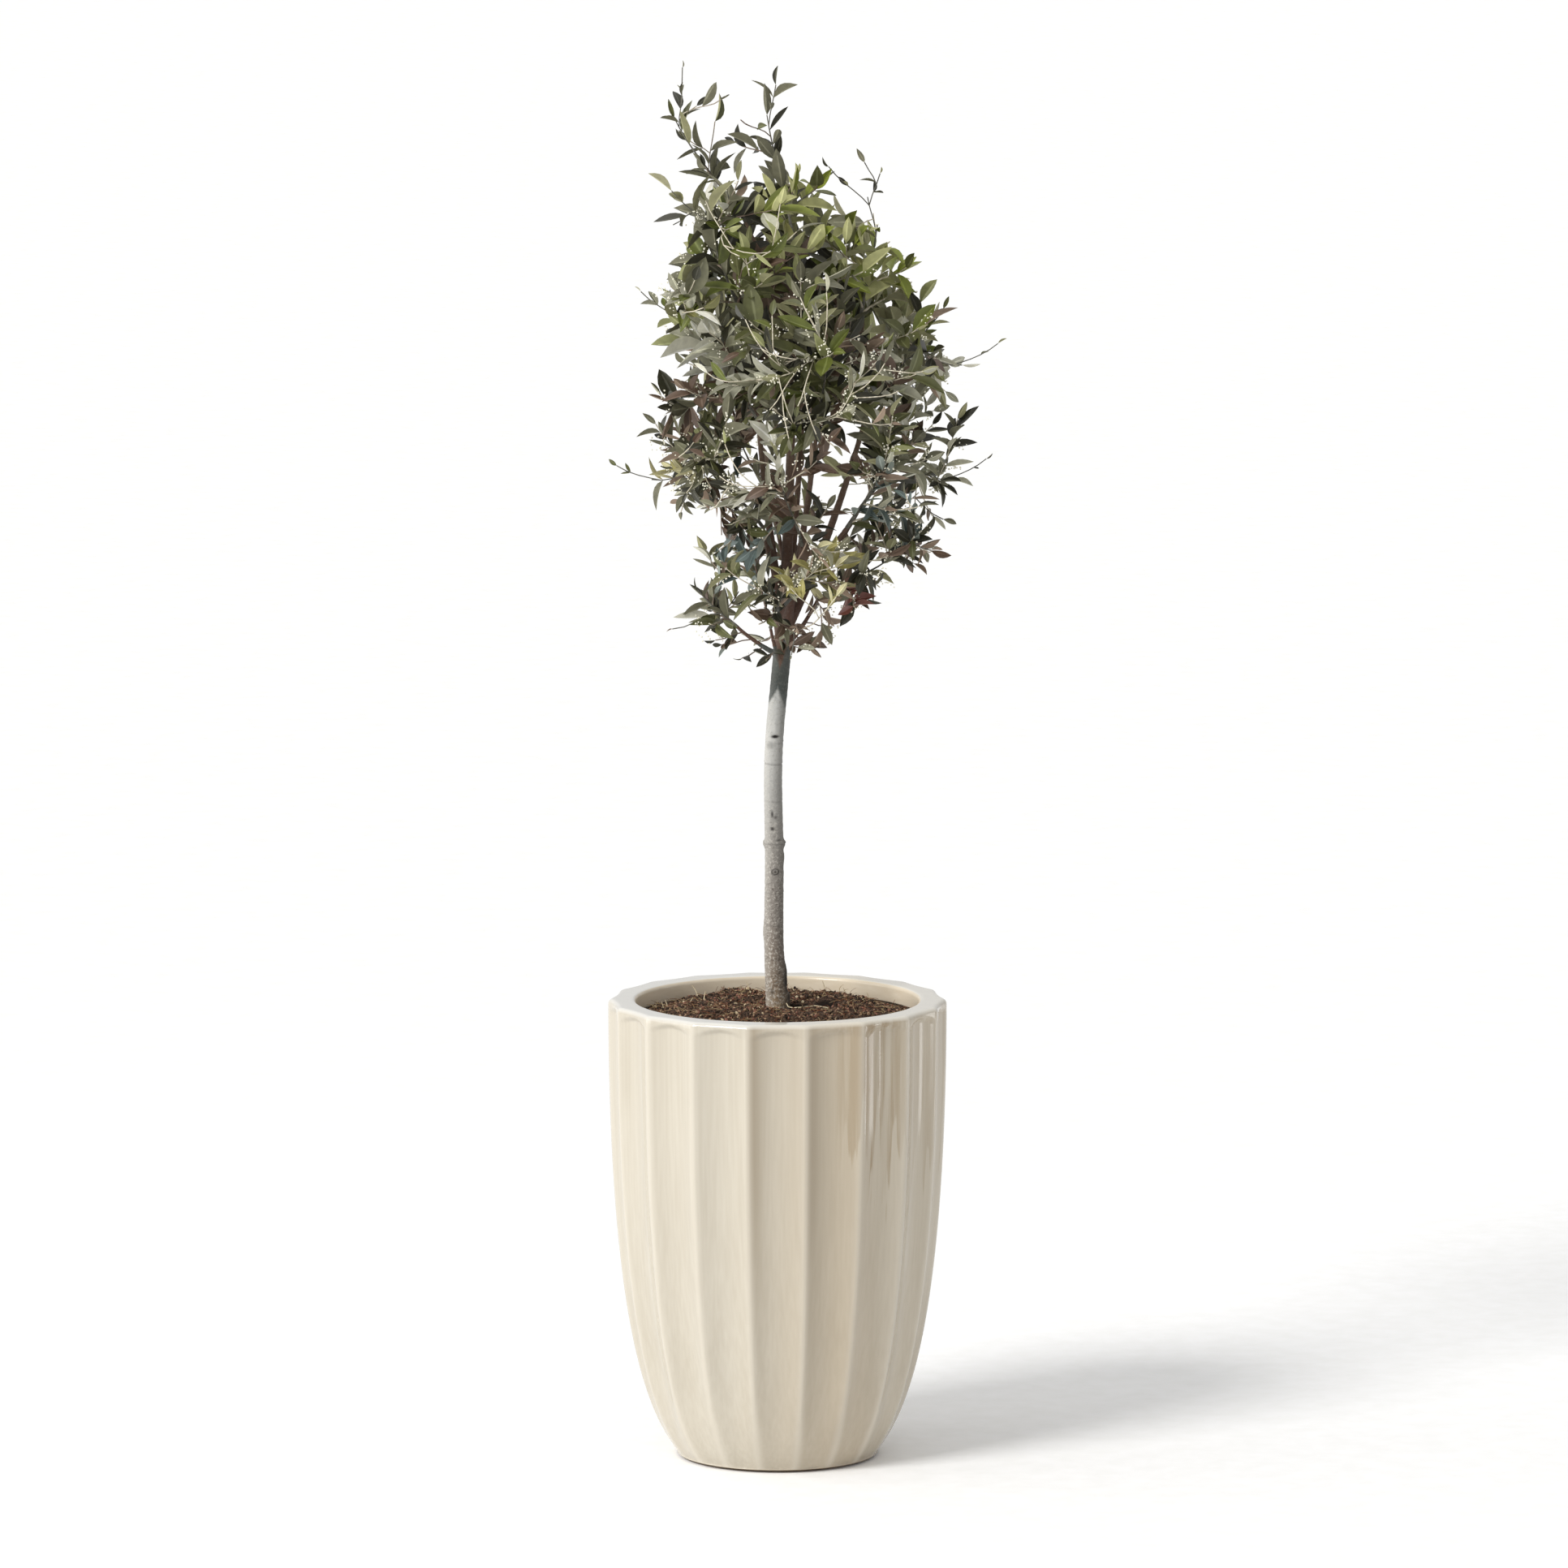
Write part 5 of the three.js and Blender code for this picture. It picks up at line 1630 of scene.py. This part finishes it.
def leaf_material(name, code, gloss):
    """Leathery leaf skin: mottled, with a pale rib, a dull wax gloss above and matt scales below."""
    colour = paint(code)

    def tree_maker(tree):
        mottle = stretched_noise(tree, 9 * MM, 1, 2.0)
        skin = blend(tree, mottle.outputs["Fac"], tinted(colour, 0.7), tinted(colour, 1.35))
        rib = add(tree, "Attribute", {}, attribute_name="rib")
        on_rib = between_levels(tree, rib.outputs["Fac"], 0.8, 0.94, 0, 0.6)
        return {"Base Color": blend(tree, on_rib, skin, tinted(colour, 2, 0.06))}

    return finish_material(name, tree_maker, Base_Color=colour, Roughness=gloss, IOR=1.45)


leaf_finishes = []
first_finish = {}
for shade, (upper_code, under_code) in LEAF_SHADES.items():
    first_finish[shade] = len(leaf_finishes)
    leaf_finishes.append(leaf_material(f"leaf_upper_{shade}", upper_code, 0.42))
    leaf_finishes.append(leaf_material(f"leaf_under_{shade}", under_code, 0.75))

# %% Place the leaves
NODE_STEP = 15 * MM
# How much farther apart the pairs are on thin and on long shoots, and on ordinary ones near the top
NODE_SPREAD = {"wisp": 1.7, "long": 1.3}
TOP_SPREAD = 1.5
# The share of a twig that has no leaves, and how small its leaves are, by its kind
BARE_SHARE = 0.12
BARE_SHARES = {"wisp": 0.45, "run": 0.66}
SMALLER = {"wisp": 0.45, "run": 0.75}
# The share of leaves that have fallen, and that of the crown's top
MISSING = 0.1
TOP_MISSING = 0.3
# How wide a leaf stands off its twig, and how far each pair is turned from the last, in degrees
LEAF_SPLAY = (32, 66)
PAIR_TURN = 80
LEAF_RANGE = (0.6, 1.2)
WIDTH_RANGE = (0.8, 1.2)
# How far a leaf wanders from its heading, how much its face is turned up, and its roll either way
LEAF_WANDER = 0.22
FACE_UP = 0.7
LEAF_ROLL = 0.8
# The share of leaves that have their spray's shade, and the size of the one at the tip
SPRAY_SHARE = 0.72
TIP_SIZE = 0.72
LEAF_LENGTH = 46 * MM
LEAF_WIDTH = 15.5 * MM
BROAD_SHARE = 0.16
BROADER = 1.35
THIN_TOP = 1.68
# How far the leaves of long shoots, of other twigs and of thin shoots may stand out of the crown
STAND_OUT = 26 * MM
LEAF_MARGIN = 9 * MM
WISP_MARGIN = 200 * MM
LEAF_CLEAR = 4 * MM
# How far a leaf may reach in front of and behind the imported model
MOST_BEYOND = 15 * MM


def ordinary_shade(tip, chance):
    """The shade dealt at a place: dark or brown ones inside the crown as painted shade, or by the height."""
    if outness(tip) < SHADED_INSIDE and tip.z < THIN_TOP and chance.next() < SHADED_INSIDE_SHARE:
        return "dark" if chance.next() < DARK_SHARE else "brown"
    shares = [shares for height, shares in ORDINARY if tip.z >= height][-1]
    return list(shares)[chance.deal(shares.values())]


def spray_shade(tip, chance):
    """The shade that a spray is dealt, by chance or by the tint of its place."""
    for x, z, reach, shade, share in TINTS:
        if hypot(tip.x - x, tip.z - z) < reach and tip.y < TINT_DEPTH and chance.next() < share:
            return shade
    return ordinary_shade(tip, chance)


def twig_leaves(twig, chance):
    """Opposite pairs, each turned from the last, and one leaf at the tip."""
    points, foot, kind = twig
    limb = Limb(points, lambda s: foot + (TWIG_TIP - foot) * s)
    height, long, wide = (np.array(column) for column in zip(*LEAF_SIZES))
    long, wide = (float(np.interp(points[-1].z, height, sizes)) for sizes in (long, wide))
    step = NODE_STEP * long * NODE_SPREAD.get(kind, 1)
    missing = MISSING
    if points[-1].z > THIN_TOP and kind != "long":
        step *= TOP_SPREAD
        missing = TOP_MISSING
    bare = BARE_SHARES.get(kind, BARE_SHARE)
    nodes = max(1, floor(limb.length * (1 - bare) / step))
    shade = spray_shade(points[-1], chance)
    heading = limb.heading(0.5)
    across = heading.cross(chance.direction()).normalized()
    leaves = []
    turn = chance.between(0, pi)
    for k in range(nodes + 1):
        share = max(0.08, 1 - (0.5 * MM + (nodes - k) * step) / limb.length)
        root = limb.at(share)
        heading = limb.heading(share)
        side = (across - heading * across.dot(heading)).normalized()
        side = Matrix.Rotation(turn + k * radians(PAIR_TURN), 3, heading) @ side
        for sign in (0,) if k == nodes else (1, -1):
            if sign and chance.next() < missing:
                continue
            splay = radians(chance.between(*LEAF_SPLAY))
            size = long * chance.between(*LEAF_RANGE) * SMALLER.get(kind, 1)
            size *= BROADER if chance.next() < BROAD_SHARE else 1
            size *= TIP_SIZE if k == nodes else 1
            away = heading if sign == 0 else heading * cos(splay) + side * sign * sin(splay)
            away = (away + chance.direction() * LEAF_WANDER).normalized()
            face = side if sign == 0 else heading + UP * FACE_UP
            face = (face - away * face.dot(away)).normalized()
            face = Matrix.Rotation(chance.between(-LEAF_ROLL, LEAF_ROLL), 3, away) @ face
            own_shade = shade if chance.next() < SPRAY_SHARE else ordinary_shade(points[-1], chance)
            foot_place = root + away * limb.radius_at(share) * 0.6
            leaves.append((foot_place, away, face, (size, size * wide / long), own_shade))
    return leaves


def leaf_fits(root, away, length, kind_margin):
    """Within the crown and the model's depth, clear of the limbs, and out of the openings."""
    tip = root + away * length
    if abs(tip.y) > cad_box[1][1] + MOST_BEYOND:
        return False
    middle = root + away * length * 0.5
    if kind_margin <= STAND_OUT and any(in_opening(place) for place in (root, middle, tip)):
        return False
    return inside_crown(tip, -kind_margin) and clear_of_limbs(middle, LEAF_CLEAR)


def make_leaves(tier, names):
    """All leaves of a part of the crown that fit their place, as one mesh."""
    margins = {"long": STAND_OUT, "spur": STAND_OUT, "wisp": WISP_MARGIN}
    copies = []
    for name in names:
        chance = Chance(mass_number[name] + 1)
        for twig in crown_twigs[mass_number[name]]:
            margin = margins.get(twig[2], LEAF_MARGIN)
            for root, away, face, (size, breadth), shade in twig_leaves(twig, chance):
                length = LEAF_LENGTH * size
                if not leaf_fits(root, away, length, margin):
                    continue
                width = LEAF_WIDTH * breadth * chance.between(*WIDTH_RANGE)
                matrix = frame_matrix(root, away, face.cross(away), (length, width, length))
                shape = leaf_shapes[floor(len(leaf_shapes) * chance.next())]
                copies.append((shape, matrix, first_finish[shade]))
    mesh = joined_copies("leaves_" + tier, copies)
    mesh.shade_smooth()
    mesh.set_sharp_from_angle(angle=radians(60))
    print(tier, "leaves:", len(copies))
    return mesh


for tier, names in TIERS.items():
    keep_piece("leaves_" + tier, make_leaves(tier, names), leaf_finishes, "foliage", *tier_nodes[tier])

# %% [markdown]
# ## Flower buds
# In late spring an olive carries loose clusters of tiny cream buds on thin stalks beside its leaves.
# From a step away they are a sprinkle of pale dots over the dark crown. Each is a bead of twenty
# faces, far smaller than a leaf, so a few thousand of them cost little. The stalks are too thin to see
# and are left out.

# %% Bud clusters
BUD_RADIUS = 1.2 * MM
BUD_SIZES = (0.6, 1.1)
CLUSTER_REACH = 26 * MM
CLUSTER_SPREAD = 9 * MM
CLUSTER_SHARE = 0.4
BUDS_EACH = (5, 13)
# No bud is farther out than this share of the crown's width, or it would seem to hang in the air
BUD_LIMIT = 1.02
# Clusters begin this far out, keep off the crown's left and right edges, and stay below its top
CLUSTER_INNER = 0.55
CLUSTER_SIDE = 0.85
CLUSTER_TOP = CROWN_TOP - 100 * MM


def make_buds(tier, names):
    """Loose clusters whose stalks would point outwards and up from the twigs."""
    bead = bead_shape(0, (1, 1))
    copies = []
    for name in names:
        chance = Chance(500 + mass_number[name])
        for points, _, kind in crown_twigs[mass_number[name]]:
            if kind in ("stem", "wisp") or points[-1].z > CLUSTER_TOP:
                continue
            for point in points[1:]:
                if outness(point) < CLUSTER_INNER or abs(across_crown(point)) > CLUSTER_SIDE:
                    continue
                if chance.next() > CLUSTER_SHARE:
                    continue
                outward = Vector((point.x - crown_at(point.z)[0], point.y, 0)).normalized()
                stalk = (chance.direction() + outward * 1.2 + UP * 0.5).normalized()
                for _ in range(floor(chance.between(*BUDS_EACH))):
                    place = point + stalk * CLUSTER_REACH * chance.between(0.15, 1)
                    place += chance.direction() * CLUSTER_SPREAD * chance.next()
                    size = BUD_RADIUS * chance.between(*BUD_SIZES)
                    if outness(place) > BUD_LIMIT or in_opening(place):
                        continue
                    ways = chance.direction(), chance.direction()
                    copies.append((bead, frame_matrix(place, *ways, (size * 1.3, size, size)), 0))
    print(tier, "buds:", len(copies))
    return joined_copies("buds_" + tier, copies)


# Buds are matt and cream, paler than any leaf, so that each reads as a dot
bud_skin = finish_material(
    "cream_flower_bud", grainy("#E6E2CA", "#FAF7E8", 2 * MM, 0.1 * MM), Base_Color=paint("#F0ECD8"),
    Roughness=0.6, IOR=1.45,
)
for tier, names in TIERS.items():
    keep_piece("buds_" + tier, make_buds(tier, names), [bud_skin], "foliage", *tier_nodes[tier])

# %% [markdown]
# ## Light, floor and camera
# The tree stands on a white studio floor that has no edge in view. A large soft lamp, high at the
# front left, gives the pot its round form and throws one soft shadow to the back right. An even white
# surround fills the shade and shows in the glaze. The camera looks from a little above with a long
# lens, so the pot's lip is a narrow ellipse and the crown isn't foreshortened.

# %% Floor
FLOOR_SIZE = 120


def make_floor():
    bm = bmesh.new()
    bmesh.ops.create_grid(bm, x_segments=1, y_segments=1, size=FLOOR_SIZE / 2)
    floor_mesh = mesh_from(bm, "studio_floor")
    # Matt white paper without any sheen, so that the eye gets only the soft shadow from it
    paper = finish_material(
        "white_studio_paper", grainy("#FBFBFA", "#FFFFFF", 40 * MM, 0.01 * MM), Base_Color=paint("#FFFFFF"),
        Roughness=1.0, Specular_IOR_Level=0.0,
    )
    floor_mesh.materials.append(paper)
    studio_floor = bpy.data.objects.new("studio_floor", floor_mesh)
    bpy.context.scene.collection.objects.link(studio_floor)


make_floor()

# %% Light
# The lamp's direction from the front to the left, its height and its width as seen, in degrees
LAMP_SIDE = 46
LAMP_HEIGHT = 37
LAMP_SOFTNESS = 21
LAMP_STRENGTH = 2.1
LAMP_COLOUR = (1.0, 0.99, 0.975)
SURROUND_STRENGTH = 0.63


def make_light():
    lamp = bpy.data.lights.new("soft_key_lamp", "SUN")
    lamp.energy = LAMP_STRENGTH
    lamp.angle = radians(LAMP_SOFTNESS)
    lamp.color = LAMP_COLOUR
    holder = bpy.data.objects.new("soft_key_lamp", lamp)
    side, height = radians(LAMP_SIDE), radians(LAMP_HEIGHT)
    towards = Vector((-sin(side) * cos(height), -cos(side) * cos(height), sin(height)))
    holder.rotation_euler = towards.to_track_quat("Z", "Y").to_euler()
    bpy.context.scene.collection.objects.link(holder)
    world = bpy.data.worlds.new("white_surround")
    world.use_nodes = True
    world.node_tree.nodes["Background"].inputs["Color"].default_value = (1, 1, 1, 1)
    world.node_tree.nodes["Background"].inputs["Strength"].default_value = SURROUND_STRENGTH
    bpy.context.scene.world = world
    bpy.context.scene.view_settings.view_transform = "Standard"


make_light()

# %% Soft panels
# Tall white panels: direction from the front to the right, distance, height of the middle, width and
# height, power in watts, and whether it lights everything. The others show in the gloss alone, as the
# soft upright bands on the flutes.
PANELS = [
    (-86, 2.6, 1.0, 1.6, 1.6, 15, True), (104, 2.2, 0.55, 0.34, 1.1, 3, False),
    (82, 2.4, 0.55, 0.16, 1.1, 2, False),
]


def make_panels():
    for number, (side, distance, middle, width, height, power, lights_all) in enumerate(PANELS, 1):
        panel = bpy.data.lights.new(f"panel_{number}", "AREA")
        panel.shape = "RECTANGLE"
        panel.size = width
        panel.size_y = height
        panel.energy = power
        holder = bpy.data.objects.new(f"panel_{number}", panel)
        holder.visible_diffuse = lights_all
        holder.location = (distance * sin(radians(side)), -distance * cos(radians(side)), middle)
        inward = Vector((-holder.location.x, -holder.location.y, 0))
        holder.rotation_euler = inward.to_track_quat("-Z", "Y").to_euler()
        bpy.context.scene.collection.objects.link(holder)


make_panels()

# %% Camera
# Distance, height and aim are in metres, the lens and the film's width in millimetres
CAMERA_DISTANCE = 14
CAMERA_HEIGHT = 2.9
AIM = Vector((0.0085, 0, 0.8835))
LENS = 250.6
FILM_WIDTH = 36
FARTHEST = 200


def make_camera():
    camera = bpy.data.cameras.new("camera")
    camera.lens = LENS
    camera.sensor_width = FILM_WIDTH
    camera.clip_end = FARTHEST
    holder = bpy.data.objects.new("camera", camera)
    holder.location = (AIM.x, -CAMERA_DISTANCE, CAMERA_HEIGHT)
    holder.rotation_euler = (AIM - holder.location).to_track_quat("-Z", "Y").to_euler()
    bpy.context.scene.collection.objects.link(holder)
    bpy.context.scene.camera = holder


make_camera()
